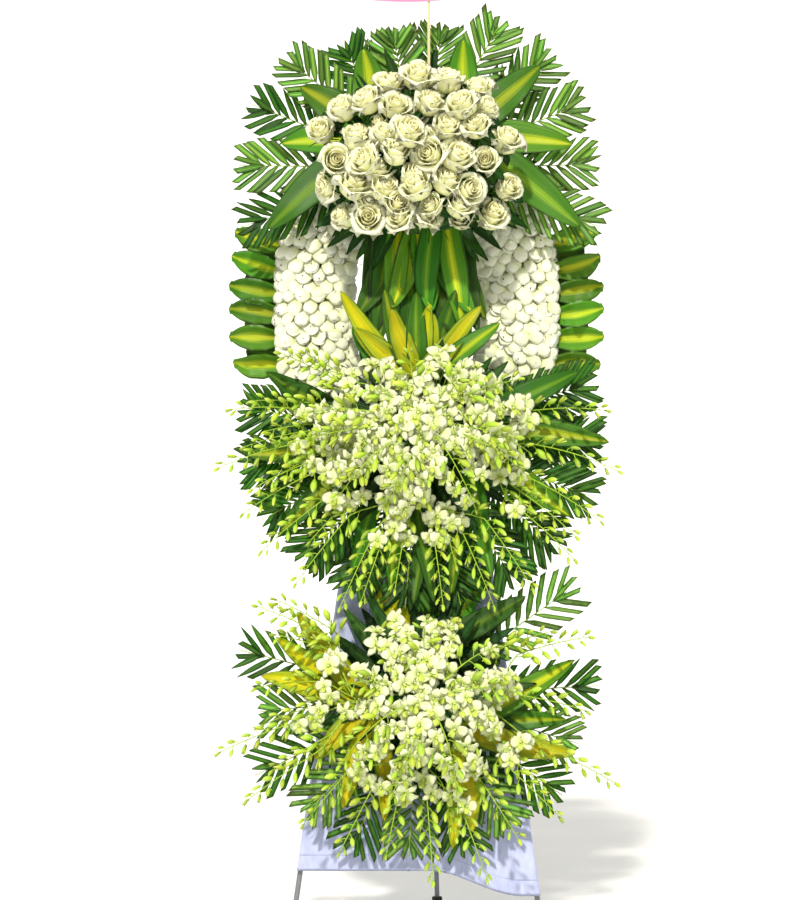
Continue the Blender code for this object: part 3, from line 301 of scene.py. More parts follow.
def copies_tree():
    """Sets one shape of a collection on every point, turned and stretched as the point's attributes say."""
    tree, given = new_tree("copies_on_points", Shapes="Collection", Finish="Material", Seed="Int")
    kinds = {"along": "FLOAT_VECTOR", "facing": "FLOAT_VECTOR", "stretch": "FLOAT_VECTOR", "kind": "INT"}
    named = "GeometryNodeInputNamedAttribute"
    along, facing, stretch, kind = [add(tree, named, data_type=data, Name=key) for key, data in kinds.items()]
    axes = {"primary_axis": "Y", "secondary_axis": "Z"}
    turn = add(tree, "FunctionNodeAxesToRotation", **axes, Primary_Axis=along, Secondary_Axis=facing)
    apart = {"Separate_Children": True, "Reset_Children": True}
    shapes = add(tree, "GeometryNodeCollectionInfo", Collection=given.outputs["Shapes"], **apart)
    chosen = {"Instance": shapes, "Pick_Instance": True, "Instance_Index": kind}
    placed = add(tree, "GeometryNodeInstanceOnPoints", Points=given, **chosen, Rotation=turn, Scale=stretch)
    shade = add(tree, "FunctionNodeRandomValue", data_type="FLOAT", Seed=given.outputs["Seed"])
    each = {"data_type": "FLOAT", "domain": "INSTANCE", "Name": "shade", "Value": shade}
    return end_tree(tree, given, add(tree, "GeometryNodeStoreNamedAttribute", Geometry=placed, **each))


def tubes_tree():
    """Turns a mesh's edges into round closed tubes whose radius is the attribute thickness."""
    tree, given = new_tree("tubes_on_lines", Sides="Int", Finish="Material")
    curve = add(tree, "GeometryNodeMeshToCurve", Mesh=given)
    radius = add(tree, "GeometryNodeInputNamedAttribute", data_type="FLOAT", Name="thickness")
    ring = add(tree, "GeometryNodeCurvePrimitiveCircle", Resolution=given.outputs["Sides"], Radius=1.0)
    round_it = {"Profile_Curve": ring, "Scale": radius, "Fill_Caps": True}
    tube = add(tree, "GeometryNodeCurveToMesh", Curve=curve, **round_it)
    return end_tree(tree, given, add(tree, "GeometryNodeSetShadeSmooth", Geometry=tube, Shade_Smooth=True))


COPIES = copies_tree()
TUBES = tubes_tree()


def grown(name, mesh, tree, inputs):
    """An object whose mesh a geometry node tree has made, as plain faces with no modifier left."""
    obj = linked(name, mesh)
    modifier = obj.modifiers.new("grow", "NODES")
    modifier.node_group = tree
    for item in tree.interface.items_tree:
        if item.in_out == "INPUT" and item.name in inputs:
            modifier[item.identifier] = inputs[item.name]
    obj.update_tag()
    bpy.context.view_layer.update()
    graph = bpy.context.evaluated_depsgraph_get()
    made = bpy.data.meshes.new_from_object(obj.evaluated_get(graph))
    made.name = name
    obj.modifiers.clear()
    obj.data = made
    bpy.data.meshes.remove(mesh)
    return obj


def copies(name, spots, shapes, finish, seed=1, upright=False):
    """A shape of the collection at every spot (place, along, facing, stretch, kind) of the display."""
    places, alongs, facings, stretches, kinds = zip(*spots)
    place, turn = (stood, np.asarray) if upright else (lean, turned)
    vectors = {
        "along": turn(alongs),
        "facing": turn(facings),
        "stretch": np.array([np.broadcast_to(stretch, 3) for stretch in stretches], float),
    }
    mesh = bpy.data.meshes.new(name + "_spots")
    mesh.from_pydata(place(np.array(places)).tolist(), [], [])
    for key, values in vectors.items():
        store(mesh, key, "FLOAT_VECTOR", values)
    store(mesh, "kind", "INT", kinds)
    return grown(name, mesh, COPIES, {"Shapes": shapes, "Finish": finish, "Seed": seed})


def tubes(name, lines, finish, sides=6, upright=False):
    """A round tube along every line (points, radii) of the display."""
    points, edges, radii = [], [], []
    for path, radius in lines:
        first = len(points)
        points.extend((stood if upright else lean)(path).tolist())
        edges += [(first + k, first + k + 1) for k in range(len(path) - 1)]
        radii.extend(np.broadcast_to(radius, len(path)).tolist())
    mesh = bpy.data.meshes.new(name + "_lines")
    mesh.from_pydata(points, edges, [])
    store(mesh, "thickness", "FLOAT", radii)
    return grown(name, mesh, TUBES, {"Sides": sides, "Finish": finish})


def direct(name, shapes, finish, shades=None):
    """An object from shapes whose points already are in their place."""
    mesh = make_mesh(name, shapes, shades)
    mesh.materials.append(finish)
    return linked(name, mesh)


def shelf(name, shapes):
    """A collection of the shapes that a tree chooses from, in the order given."""
    kinds = bpy.data.collections.new(name)
    for k, parts in enumerate(shapes):
        kinds.objects.link(bpy.data.objects.new(f"{name}_{k}", make_mesh(f"{name}_{k}", parts)))
    return kinds


def piece(parts, slot, *nodes):
    """The parts as one object under the first one's name, riding with the stand in place of the CAD nodes."""
    first = parts[0]
    if len(parts) > 1:
        with bpy.context.temp_override(active_object=first, selected_editable_objects=parts):
            bpy.ops.object.join()
    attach(first, "root")
    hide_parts(*nodes)
    return first


# Materials


MULTIPLIED = {"data_type": "RGBA", "blend_type": "MULTIPLY"}


def new_material(name, **constants):
    """A material with these values on its shader's own sockets. Returns it with its tree and shader."""
    material = bpy.data.materials.new(name)
    material.use_nodes = True
    shader = material.node_tree.nodes["Principled BSDF"]
    feed(shader, **constants)
    return material, material.node_tree, shader


def dress(shader, colour, height, depth, strength=0.6, **others):
    """Feeds a shader its colour, a relief this many metres deep and any others of its inputs."""
    relief = add(shader.id_data, "Bump", Height=height, Distance=depth, Strength=strength)
    feed(shader, Base_Color=colour, Normal=relief, **others)


def along_grain(tree, axis):
    """Share across (X) or along (Y) a blade, from its UV map."""
    return add(tree, "SeparateXYZ", Vector=add(tree, "UVMap", uv_map="grain")).outputs[axis]


def streaks(tree, across, along, detail=3.0):
    """Fibres that run along a blade: a noise drawn out along the UV map, with this many cells each way."""
    drawn = add(tree, "Mapping", Vector=add(tree, "UVMap", uv_map="grain"), Scale=(across, along, 1.0))
    shade = add(tree, "Attribute", attribute_name="shade").outputs["Fac"]
    copy = add(tree, "Math", operation="MULTIPLY", Value=shade, Value_001=37.0)
    return add(tree, "TexNoise", noise_dimensions="4D", Vector=drawn, W=copy, Scale=1.0, Detail=detail)


def toned(tree, colour, low, high, hue_spread=0.0):
    """A colour that differs in lightness and a little in hue from copy to copy, by the copy's own shade."""
    shade = add(tree, "Attribute", attribute_name="shade").outputs["Fac"]
    value = add(tree, "MapRange", Value=shade, To_Min=low, To_Max=high)
    scrambled = add(tree, "Math", operation="MULTIPLY", Value=shade, Value_001=17.0)
    second = add(tree, "Math", operation="FRACT", Value=scrambled)
    hue = add(tree, "MapRange", Value=second, To_Min=0.5 - hue_spread, To_Max=0.5 + hue_spread)
    return add(tree, "HueSaturation", Hue=hue, Value=value, Color=colour)


def petal(name, foot, belly, rim, heart, heart_share, roughness, low=0.93):
    """Living petal: soft and slightly see-through, deeper at its foot, with hair-fine veins along it."""
    flesh = {"Subsurface_Weight": 0.1, "Subsurface_Scale": 0.004, "Subsurface_Radius": (1.0, 0.9, 0.6)}
    down = {"Sheen_Weight": 0.25, "Sheen_Roughness": 0.6, "Specular_IOR_Level": 0.3}
    material, tree, shader = new_material(name, Roughness=roughness, **flesh, **down)
    stops = ((0.0, foot), (1.0, rim), (0.45, belly))
    along = add(tree, "ValToRGB", stops, Fac=along_grain(tree, "Y"))
    tone = add(tree, "Attribute", attribute_name="tone").outputs["Fac"]
    deep = add(tree, "Math", operation="MULTIPLY", Value=tone, Value_001=heart_share)
    mixed = add(tree, "Mix", data_type="RGBA", Factor_Float=deep, A_Color=along, B_Color=linear(heart))
    veins = streaks(tree, 26.0, 1.6)
    faint = add(tree, "MapRange", Value=veins, From_Min=0.3, From_Max=0.7, To_Min=0.0, To_Max=0.14)
    veined = add(tree, "Mix", **MULTIPLIED, Factor_Float=faint, A_Color=mixed, B_Color=linear(foot))
    dress(shader, toned(tree, veined, low, 1.03), veins, 0.0006)
    return material


def leaf(name, middle, side, edge, stripe, roughness, low, high, ribs=26, coat=0.12, blend=0.30):
    """Waxy leaf blade: a ragged stripe along its middle, parallel ribs, gloss that breaks up over them."""
    flesh = {"Subsurface_Weight": 0.15, "Subsurface_Scale": 0.004, "Subsurface_Radius": (0.6, 1.0, 0.2)}
    wax = {"Coat_Weight": coat, "Coat_Roughness": 0.34, "Specular_IOR_Level": 0.26}
    material, tree, shader = new_material(name, **flesh, **wax)
    share = along_grain(tree, "X")
    off = add(tree, "Math", operation="SUBTRACT", Value=share, Value_001=0.5)
    half = add(tree, "Math", operation="ABSOLUTE", Value=off)
    fibres, drift = streaks(tree, 34.0, 1.2), streaks(tree, 2.5, 1.5, 1.0)
    scaled = {"operation": "MULTIPLY_ADD"}
    ragged = add(tree, "Math", **scaled, Value=fibres, Value_001=0.30, Value_002=-0.15)
    wandering = add(tree, "Math", **scaled, Value=drift, Value_001=0.36, Value_002=-0.18)
    place = add(tree, "Math", **scaled, Value=half, Value_001=2.0, Value_002=ragged)
    place = add(tree, "Math", Value=place, Value_001=wandering)
    stops = ((0.0, middle), (1.0, edge), (stripe, middle), (stripe + blend, side), (0.86, side))
    across = add(tree, "ValToRGB", stops, Fac=place)
    turn = add(tree, "Math", operation="MULTIPLY", Value=share, Value_001=2 * math.pi * ribs)
    wave = add(tree, "Math", operation="SINE", Value=turn)
    vein = add(tree, "Math", **scaled, Value=wave, Value_001=0.30, Value_002=fibres)
    veined = add(tree, "MapRange", Value=vein, From_Min=0.2, From_Max=0.9, To_Max=0.85)
    mottle = add(tree, "Mix", **MULTIPLIED, Factor_Float=veined, A_Color=across, B_Color=linear("93AC4C"))
    dull = add(tree, "MapRange", Value=drift, To_Min=roughness - 0.08, To_Max=roughness + 0.12)
    dress(shader, toned(tree, mottle, low, high, 0.014), wave, 0.0006, 0.7, Roughness=dull)
    return material


def bud_skin():
    """Orchid bud: plump and satin, lime with a paler tip and faint ribs where the folded tepals meet."""
    flesh = {"Subsurface_Weight": 0.25, "Subsurface_Scale": 0.004, "Subsurface_Radius": (0.8, 1.0, 0.3)}
    material, tree, shader = new_material("orchid_bud_lime", Roughness=0.42, Specular_IOR_Level=0.4, **flesh)
    stops = ((0.0, "8FB024"), (1.0, "D8E67C"), (0.35, "A8C832"), (0.75, "BCD648"))
    along = add(tree, "ValToRGB", stops, Fac=along_grain(tree, "Y"))
    dress(shader, toned(tree, along, 0.7, 1.1, 0.015), streaks(tree, 9.0, 1.0), 0.0008)
    return material


def grains(tree, size, detail, roughness=0.5):
    """A noise in the object's own metres whose grains have this size, or three sizes along X, Y and Z."""
    place, cells = add(tree, "TexCoord").outputs["Object"], {"Detail": detail, "Roughness": roughness}
    if isinstance(size, tuple):
        drawn = add(tree, "Mapping", Vector=place, Scale=tuple(1 / one for one in size))
        return add(tree, "TexNoise", Vector=drawn, Scale=1.0, **cells)
    return add(tree, "TexNoise", Vector=place, Scale=1 / size, **cells)


def mottled(name, size, detail, stops, depth, strength=0.6, dull=None, **constants):
    """A finish whose colour, relief and, where dull gives a range, gloss all follow one noise."""
    material, tree, shader = new_material(name, **constants)
    noise = grains(tree, size, detail)
    dress(shader, add(tree, "ValToRGB", stops, Fac=noise), noise, depth, strength)
    if dull:
        feed(shader, Roughness=add(tree, "MapRange", Value=noise, To_Min=dull[0], To_Max=dull[1]))
    return material


def stem(name, colour, joint, roughness=0.45):
    """Fresh green stalk: smooth skin with slightly darker, drier flecks."""
    stops, gloss = ((0.35, colour), (0.75, joint)), {"Roughness": roughness, "Specular_IOR_Level": 0.4}
    return mottled(name, 0.008, 3.0, stops, 0.0005, **gloss)


def moulded_rubber():
    """Black rubber ferrule: matt, scuffed grey where it stands on the floor."""
    stops = ((0.4, "1B1B1C"), (0.8, "4A4846"))
    return mottled("black_rubber", 0.006, 5.0, stops, 0.0004, dull=(0.65, 0.95), Specular_IOR_Level=0.3)


def bamboo():
    """Dry bamboo cane: straw colour with long fibres and a satin rind."""
    fibre, stops = (0.0006, 0.0006, 0.03), ((0.25, "C9AE6C"), (0.75, "F2E6BC"))
    rind = {"Roughness": 0.5, "Coat_Weight": 0.15, "Specular_IOR_Level": 0.4}
    return mottled("dry_bamboo", fibre, 4.0, stops, 0.0003, **rind)


def studio_floor():
    """Pale studio floor: matt, with a very faint trowelled unevenness."""
    stops = ((0.3, "F2F2F3"), (0.7, "F8F8F8"))
    matt = {"Roughness": 0.85, "Specular_IOR_Level": 0.2}
    return mottled("pale_studio_floor", 0.4, 4.0, stops, 0.0004, 0.2, **matt)


def thin_polyester(width, length):
    """Thin lavender polyester: matt, with threads 1.5 mm apart so that they show, its colour mottled darker
    where its crushed relief lies low.
    """
    sheen = {"Sheen_Weight": 0.2, "Sheen_Roughness": 0.5, "Specular_IOR_Level": 0.25}
    material, tree, shader = new_material("lavender_polyester", **sheen)
    thread, waves = 0.0015, []
    for axis, run in (("X", width), ("Y", length)):
        turns = {"Value": along_grain(tree, axis), "Value_001": 2 * math.pi * run / thread}
        turn = add(tree, "Math", operation="MULTIPLY", **turns)
        waves.append(add(tree, "Math", operation="SINE", Value=turn))
    weave = add(tree, "Math", operation="MULTIPLY", Value=waves[0], Value_001=waves[1])
    crush = grains(tree, (0.022, 0.022, 0.06), 5.0, 0.6)
    colour = add(tree, "ValToRGB", ((0.30, "A6ADD2"), (0.70, "C4CAEE")), Fac=crush)
    dull = add(tree, "MapRange", Value=crush, To_Min=0.6, To_Max=0.85)
    both = add(tree, "Math", operation="MULTIPLY_ADD", Value=weave, Value_001=0.08, Value_002=crush)
    dress(shader, colour, both, 0.002, 0.5, Roughness=dull)
    return material


def wet_foam():
    """Florists' phenolic foam: matt dark green crumb with open 2.5 mm cells whose pits hold painted shade,
    darker where it is soaked.
    """
    material, tree, shader = new_material("green_floral_foam", Roughness=0.95, Specular_IOR_Level=0.2)
    place = add(tree, "TexCoord").outputs["Object"]
    cells = add(tree, "TexVoronoi", Vector=place, Scale=1 / 0.0025)
    colour = add(tree, "ValToRGB", ((0.35, "23401F"), (0.65, "3F6B3A")), Fac=grains(tree, 0.06, 4.0))
    # Each cell is painted darker towards its middle: painted shade in its pit
    dress(shader, add(tree, "Mix", **MULTIPLIED, A_Color=colour, B_Color=cells), cells, 0.001, 0.8)
    return material


def painted_steel():
    """Grey paint on steel rod: faint orange peel, duller and darker where hands and damp have worn it."""
    material, tree, shader = new_material("grey_painted_steel", Metallic=0.35, Specular_IOR_Level=0.5)
    wear = grains(tree, 0.035, 6.0, 0.65)
    stops = ((0.0, "5E6166"), (1.0, "8A8D92"), (0.42, "7C7F84"), (0.66, "808388"), (0.72, "5A4A3E"))
    dull = add(tree, "MapRange", Value=wear, To_Min=0.3, To_Max=0.65)
    paint = add(tree, "ValToRGB", stops, Fac=wear)
    dress(shader, paint, grains(tree, 0.0025, 2.0), 0.0002, 0.5, Roughness=dull)
    return material


def card_paper(name, light, dark):
    """Dyed card: matt, with a felt of 1 mm fibres that shows as a faint mottle."""
    material, tree, shader = new_material(name, Roughness=0.75, Specular_IOR_Level=0.3)
    felt, cloud = grains(tree, 0.001, 4.0), grains(tree, 0.04, 2.0)
    mixed = add(tree, "Math", operation="MULTIPLY", Value=felt, Value_001=cloud)
    dress(shader, add(tree, "ValToRGB", ((0.1, dark), (0.35, light)), Fac=mixed), felt, 0.0002)
    return material


ROSE = petal("cream_rose_petal", "CCDA54", "F8F8C0", "FCFCE2", "FAF2B4", 0.7, 0.5, 0.98)
PEARL = petal("white_orchid_petal", "D8E290", "F0F2D2", "F6F6E6", "EEF0C4", 0.4, 0.42, 0.94)
FLORET = petal("dendrobium_tepal", "BAD24C", "EEF4B8", "F7F9DA", "C6DA44", 0.9, 0.42, 0.88)
STRIPED = leaf("striped_dracaena_leaf", "DAE62A", "5E9C1E", "3A6E10", 0.10, 0.36, 0.55, 1.25)
GREEN = leaf("green_dracaena_leaf", "92C030", "4C8C1C", "306612", 0.05, 0.34, 0.35, 1.2)
GOLD = leaf("golden_dracaena_leaf", "F4E216", "C0CA1C", "6E9A18", 0.30, 0.38, 0.85, 1.12)
# Palm leaflets in two copies: a paler one for fronds in the light, and a darker one, painted shade, for
# fronds in shadow
FROND = leaf("palm_leaflet", "92BC54", "5E9A34", "467E22", 0.02, 0.33, 0.42, 1.45, 5, 0.16, 0.5)
SHADED_FROND = leaf("deep_palm_leaflet", "589022", "2E6C12", "20500A", 0.02, 0.36, 0.3, 1.15, 5, 0.06, 0.5)
ROSE_LEAF = leaf("rose_foliage", "4C7F2C", "2E5F1C", "24501A", 0.04, 0.45, 0.4, 1.1, 7, 0.05)
RIB = stem("palm_rib", "94B83C", "749C2C")
SPRAY_STEM_GREEN = stem("orchid_stem", "A4C234", "84A628")
ROSE_STEM = stem("rose_stem", "3F6F2C", "2F5A22")
SPECK = stem("dry_stigma", "5A4A2A", "3A2E1C", 0.8)
BUD, FOAM, STEEL, RUBBER, CANE = bud_skin(), wet_foam(), painted_steel(), moulded_rubber(), bamboo()
CARD = card_paper("pink_card_stock", "F6C6E2", "EEB0D4")
CARD_RIM = card_paper("deep_pink_edging", "EE9FD0", "E08ABF")
CLOTH = thin_polyester(width=0.58, length=0.77)
CLOTH_THREAD = card_paper("lavender_thread", "B4BADC", "A2A8CC")


# What grows where. Bunches, pegs, angles and reaches are the model's, but the dome of roses is 6 mm further
# left and 9 mm lower, the orchid heads are strung wider, one hanging leaf has another angle, and leaf widths
# differ by millimetres

# Palm fronds: bunch, tier, layer, peg angle, then (angle, reach from the hub) of each frond
PALMS = (
    ("palm_top_left_back", "top", "palm_back", 160, ((200, 0.43), (160, 0.41), (122, 0.335))),
    ("palm_top_right_back", "top", "palm_back", 40, ((80, 0.33), (40, 0.4), (0, 0.41))),
    ("palm_top_left_front", "top", "palm_front", 140, ((181, 0.41), (141, 0.39), (101, 0.32))),
    ("palm_top_right_front", "top", "palm_front", 20, ((60, 0.385), (20, 0.405), (-20, 0.44))),
    ("palm_middle_left_back", "middle", "palm_back", 209, ((172, 0.41), (209, 0.41), (246, 0.4))),
    ("palm_middle_right_back", "middle", "palm_back", 318, ((283, 0.4), (320, 0.41), (357, 0.41))),
    ("palm_middle_left_front", "middle", "palm_front", 228, ((191, 0.41), (228, 0.4), (265, 0.4))),
    ("palm_middle_right_front", "middle", "palm_front", 338, ((302, 0.41), (339, 0.42), (376, 0.41))),
    ("palm_lower_left_back", "lower", "palm_back", 206, ((166, 0.42), (206, 0.41), (246, 0.38))),
    ("palm_lower_right_back", "lower", "palm_back", 325, ((287, 0.37), (325, 0.39), (363, 0.4))),
    ("palm_lower_left_front", "lower", "palm_front", 226, ((186, 0.36), (226, 0.37), (266, 0.36))),
    ("palm_lower_right_front", "lower", "palm_front", 340, ((306, 0.36), (343, 0.37), (395, 0.43))),
)
# The bunches whose fronds are painted as standing in the light; the others get a darker green, painted shade
LIT_FROND_BUNCHES = (
    "palm_top_left_front", "palm_top_right_back", "palm_top_right_front", "palm_lower_left_front",
    "palm_lower_right_front",
)
FROND_START = 0.135
FROND_HALF_WIDTH = 0.066
# Leaflets on each side of a frond, how wide they are, and the share of the rib and the degrees from it of the
# pair at its end
LEAFLETS = {"top": 12, "middle": 17, "lower": 10}
LEAFLET_WIDTH = {"top": 0.0150, "middle": 0.0145, "lower": 0.0135}
END_LEAFLETS = ((0.76, 14),)
# Radii of a frond's rib at its root and its tip
RIB_RADII = (0.0027, 0.0009)

# Broad leaves: bunch, tier, layer, peg angle, then (angle, reach, width, finish) of each leaf
LEAVES = (
    ("leaves_top_left", "top", "leaf_back", 152, (
        (205, 0.37, 0.08, GREEN), (172, 0.31, 0.08, STRIPED), (147, 0.315, 0.085, STRIPED),
        (115, 0.285, 0.088, STRIPED),
    )),
    ("leaves_top_right", "top", "leaf_front", 33, (
        (70, 0.29, 0.08, STRIPED), (38, 0.345, 0.08, STRIPED), (6, 0.345, 0.08, STRIPED),
        (-23, 0.39, 0.085, GREEN),
    )),
    ("leaves_hanging_back", "top", "palm_front", 274, (
        (249, 0.375, 0.074, GREEN), (265, 0.405, 0.074, STRIPED), (281, 0.405, 0.074, GREEN),
        (293, 0.385, 0.066, STRIPED),
    )),
    ("leaves_hanging_front", "top", "leaf_back", 274, (
        (260, 0.34, 0.066, STRIPED), (274, 0.345, 0.068, STRIPED), (289, 0.37, 0.066, STRIPED),
    )),
    ("leaves_standing", "middle", "leaf_front", 92, (
        (123, 0.27, 0.056, GOLD), (104, 0.275, 0.052, GOLD), (84, 0.265, 0.058, GOLD),
        (65, 0.275, 0.056, GOLD),
    )),
    ("leaves_middle_right", "middle", "leaf_back", 0, (
        (20, 0.37, 0.064, GREEN), (-4, 0.415, 0.066, STRIPED), (-30, 0.38, 0.06, STRIPED),
    )),
    ("leaves_middle_left", "middle", "leaf_back", 196, (
        (160, 0.365, 0.062, GREEN), (188, 0.385, 0.064, STRIPED), (216, 0.38, 0.06, STRIPED),
    )),
    ("leaves_lower_up", "lower", "leaf_back", 88, (
        (113, 0.265, 0.056, GOLD), (88, 0.275, 0.062, GREEN), (60, 0.28, 0.062, STRIPED),
    )),
    ("leaves_lower_left", "lower", "leaf_front", 190, (
        (146, 0.325, 0.056, GOLD), (173, 0.35, 0.058, GOLD), (211, 0.27, 0.054, GOLD),
    )),
    ("leaves_lower_right", "lower", "leaf_front", 320, (
        (12, 0.345, 0.058, STRIPED), (339, 0.362, 0.058, GOLD), (291, 0.32, 0.056, GOLD),
    )),
)
# More leaves of the same bunches, beside the ones that the model has: how far each root stands sideways of
# the peg, then as above
FILLING = {
    "leaves_hanging_back": (
        (-0.102, 267, 0.37, 0.046, GREEN), (-0.088, 268, 0.4, 0.06, GREEN),
        (-0.06, 266, 0.415, 0.062, STRIPED), (-0.03, 270, 0.42, 0.064, GREEN),
        (0.004, 271, 0.425, 0.06, STRIPED), (0.036, 272, 0.42, 0.062, GREEN),
        (0.066, 276, 0.41, 0.06, GREEN), (0.09, 276, 0.39, 0.052, GREEN),
    ),
    "leaves_hanging_front": (
        (-0.05, 269, 0.36, 0.056, STRIPED), (-0.016, 272, 0.375, 0.054, STRIPED),
        (0.03, 268, 0.365, 0.056, GREEN), (0.052, 277, 0.385, 0.062, STRIPED),
    ),
    "leaves_standing": (
        (-0.055, 112, 0.25, 0.05, GREEN), (-0.02, 117, 0.345, 0.046, GOLD),
        (-0.01, 103, 0.32, 0.05, STRIPED), (0.0, 92, 0.31, 0.048, GREEN),
        (0.006, 87, 0.28, 0.044, GOLD), (0.01, 78, 0.32, 0.05, GREEN), (0.022, 68, 0.3, 0.044, GOLD),
        (0.02, 57, 0.285, 0.048, STRIPED),
    ),
    "leaves_middle_left": (
        (0.03, 240, 0.36, 0.048, GREEN), (0.055, 251, 0.375, 0.046, STRIPED),
        (0.085, 262, 0.385, 0.044, GREEN),
    ),
    "leaves_middle_right": (
        (-0.075, 279, 0.39, 0.044, GREEN), (-0.045, 287, 0.38, 0.046, STRIPED),
        (-0.012, 297, 0.365, 0.046, GREEN),
    ),
    "leaves_lower_left": (
        (-0.01, 158, 0.33, 0.05, GOLD), (0.0, 236, 0.3, 0.048, GOLD), (0.012, 252, 0.29, 0.044, GOLD),
    ),
    "leaves_lower_right": (
        (-0.006, 283, 0.345, 0.046, GOLD), (0.006, 350, 0.32, 0.05, STRIPED),
    ),
    "leaves_lower_up": (
        (-0.03, 108, 0.27, 0.05, STRIPED), (0.03, 74, 0.29, 0.054, GREEN),
        (0.04, 48, 0.29, 0.056, GREEN),
    ),
}
LEAF_THICKNESS = 0.0012
LEAF_STAGGER = 0.0036
# Half width of a leaf at its root, and its fold's depth against its half width, in a bunch and at the rim
LEAF_ROOT, LEAF_FOLD = 0.003, 0.28
RIM_ROOT, RIM_FOLD, RIM_BACK_FOLD = 0.012, 0.75, 0.1
YELLOW_BUNCHES = ("leaves_lower_left", "leaves_lower_right")
# Darkest and palest tone of a bunch's leaves, where it isn't the full range: the hanging leaves behind are
# painted darker, as painted shade, and those in front paler, as painted light
LIT_AND_SHADED_TONES = {"leaves_hanging_front": (0.7, 1.0), "leaves_hanging_back": (0.0, 0.35)}

# Leaves of the wreath's rim: node and the station in the middle of its strip
RIM_LEAVES = (("leaves_rim_right", 0), ("leaves_rim_left", WREATH_STATIONS // 2))
RIM_LEAF_COUNT = 6
RIM_LEAF_WIDTH = 0.060
RIM_LEAF_REACH = 0.120
RIM_LEAF_Y = WREATH_BACK - 0.0095
RIM_LEAF_RISE = 0.16
RIM_LEAF_TURN = math.radians(18)
RIM_STRIP = 0.0042
# The leaves behind, painted darker as shade: how far back, and how far out
RIM_SETBACK = 0.015
RIM_BACK_REACH = RIM_LEAF_REACH * 0.72

# The wreath's petals: node, first and last angle of its arc
PETAL_ARCS = (("wreath_petals_right", -64, 64), ("wreath_petals_left", 116, 244))
# Rows of petals stand this far apart, each with so many places round the band and petals at a place
PETAL_PITCH = 0.0225
PETAL_ROUND = 8
PETALS_AT_ONCE = 2
PETAL_WIDE = 0.037
PETAL_LONG = 0.040
# Share of the places that have a dry stigma fleck, and its size
FLECK_SHARE = 0.22
FLECK_SIZE = (0.0016, 0.0042, 0.0016)

# The rose dome: bunch, height of its row, how much the row curves up at its ends, and x of each bloom
DOME_CENTRE = np.array((-0.002, -0.228, 1.748))
DOME_HALF = np.array((0.226, 0.125, 0.184))
ROSE_RADIUS = 0.0362
ROSE_ROWS = (
    ("roses_row_1", 0.156, -0.80, (-0.068, -0.002, 0.062, 0.128)),
    ("roses_row_2", 0.097, -0.40, (-0.166, -0.104, -0.037, 0.028, 0.092, 0.155)),
    ("roses_row_3", 0.037, 0.0, (-0.200, -0.137, -0.071, -0.005, 0.060, 0.124, 0.192)),
    ("roses_row_4", -0.024, 0.0, (-0.170, -0.104, -0.038, 0.028, 0.092, 0.158)),
    ("roses_row_5", -0.085, 0.20, (-0.196, -0.136, -0.070, -0.004, 0.061, 0.126, 0.192)),
    ("roses_row_6", -0.147, 0.35, (-0.166, -0.103, -0.037, 0.029, 0.095, 0.160)),
)
ROSE_PEG_PITCH = 0.028
# Place of a half-hidden rose against the middle between two of a row, and the row that has a collar of leaves
HIDDEN_SHIFT = np.array((0, 0.022, -0.03))
COLLAR_ROW = 2
# Leaves of a collar and their shortest and longest, round the roses and round an orchid head
ROSE_COLLAR = (48, 0.13, 0.19)
HEAD_COLLAR = (72, 0.095, 0.165)
ROSE_STEM_RADIUS = 0.0024
ROSE_LEAVES = 4

# Orchid heads: node, tier, centre offset, half sizes of the dome, arms of florets, seed
HEADS = (
    ("orchids_middle_head", "middle", (0.006, 0.006), (0.230, 0.086, 0.166), 20, 11),
    ("orchids_lower_head", "lower", (0.014, -0.012), (0.180, 0.084, 0.176), 15, 23),
)
FLORET_STEP = 0.125  # from one floret of an arm to the next, as a share of the head's half size
FLORET_RADIUS = 0.029
HEAD_PROUD = 0.020
FLORET_STALK = 0.0011

# Orchid sprays: bunch, tier, peg angle, then (angle, reach, droop) of each stem
SPRAYS = (
    ("spray_middle_left", "middle", 186, (
        (148, 0.36, 0.03), (168, 0.42, 0.05), (184, 0.44, 0.06), (200, 0.41, 0.05),
    )),
    ("spray_middle_low", "middle", 259, (
        (215, 0.42, 0.03), (230, 0.42, 0.02), (246, 0.43, 0.0), (261, 0.36, 0.0), (277, 0.39, 0.0),
        (292, 0.42, 0.0), (306, 0.41, 0.02),
    )),
    ("spray_middle_right", "middle", 345, (
        (322, 0.42, 0.03), (338, 0.42, 0.05), (355, 0.43, 0.06), (372, 0.41, 0.05),
    )),
    ("spray_lower_left", "lower", 186, (
        (147, 0.42, 0.04), (170, 0.36, 0.05), (190, 0.44, 0.05), (208, 0.42, 0.03),
    )),
    ("spray_lower_low", "lower", 264, (
        (226, 0.36, 0.02), (243, 0.38, 0.0), (258, 0.35, 0.0), (274, 0.4, 0.0), (290, 0.42, 0.0),
        (306, 0.36, 0.02),
    )),
    ("spray_lower_right", "lower", 350, (
        (322, 0.38, 0.03), (339, 0.45, 0.03), (362, 0.36, 0.05), (384, 0.4, 0.04),
    )),
)
SPRAY_STEM = 0.0020
SPRAY_BULGE = 0.055
SPRAY_FREE_RADIUS = 0.215
BUD_LENGTH = 0.029
BUD_PITCH = 0.0155
BUD_STALK = 0.0009
CLOSED_STALK = 0.0010
FIRST_BUD = 0.36
HEAD_FIRST_BUD = 0.3
# Shares of a stem where a floret may stand, and the chances of it and of a shorter stem on either side
FLORET_SHARES = (0.10, 0.19, 0.28, 0.37)
FLORET_CHANCE = {"middle": 0.5, "lower": 0.2}
BESIDE_CHANCE = {"middle": 0.4, "lower": 0.25}
HEAD_STEMS = {"middle": 11, "lower": 7}

# The card on its stick, and the cloth
STICK_X = 0.027
STICK_RADIUS = 0.0035
STICK_TOP = 2.298
CARD_X = -0.022
CARD_Z = 2.212
CARD_HALF_WIDTH = 0.280
CARD_HALF_HEIGHT = 0.100
CARD_THICKNESS = 0.004
CARD_BORDER = 0.012
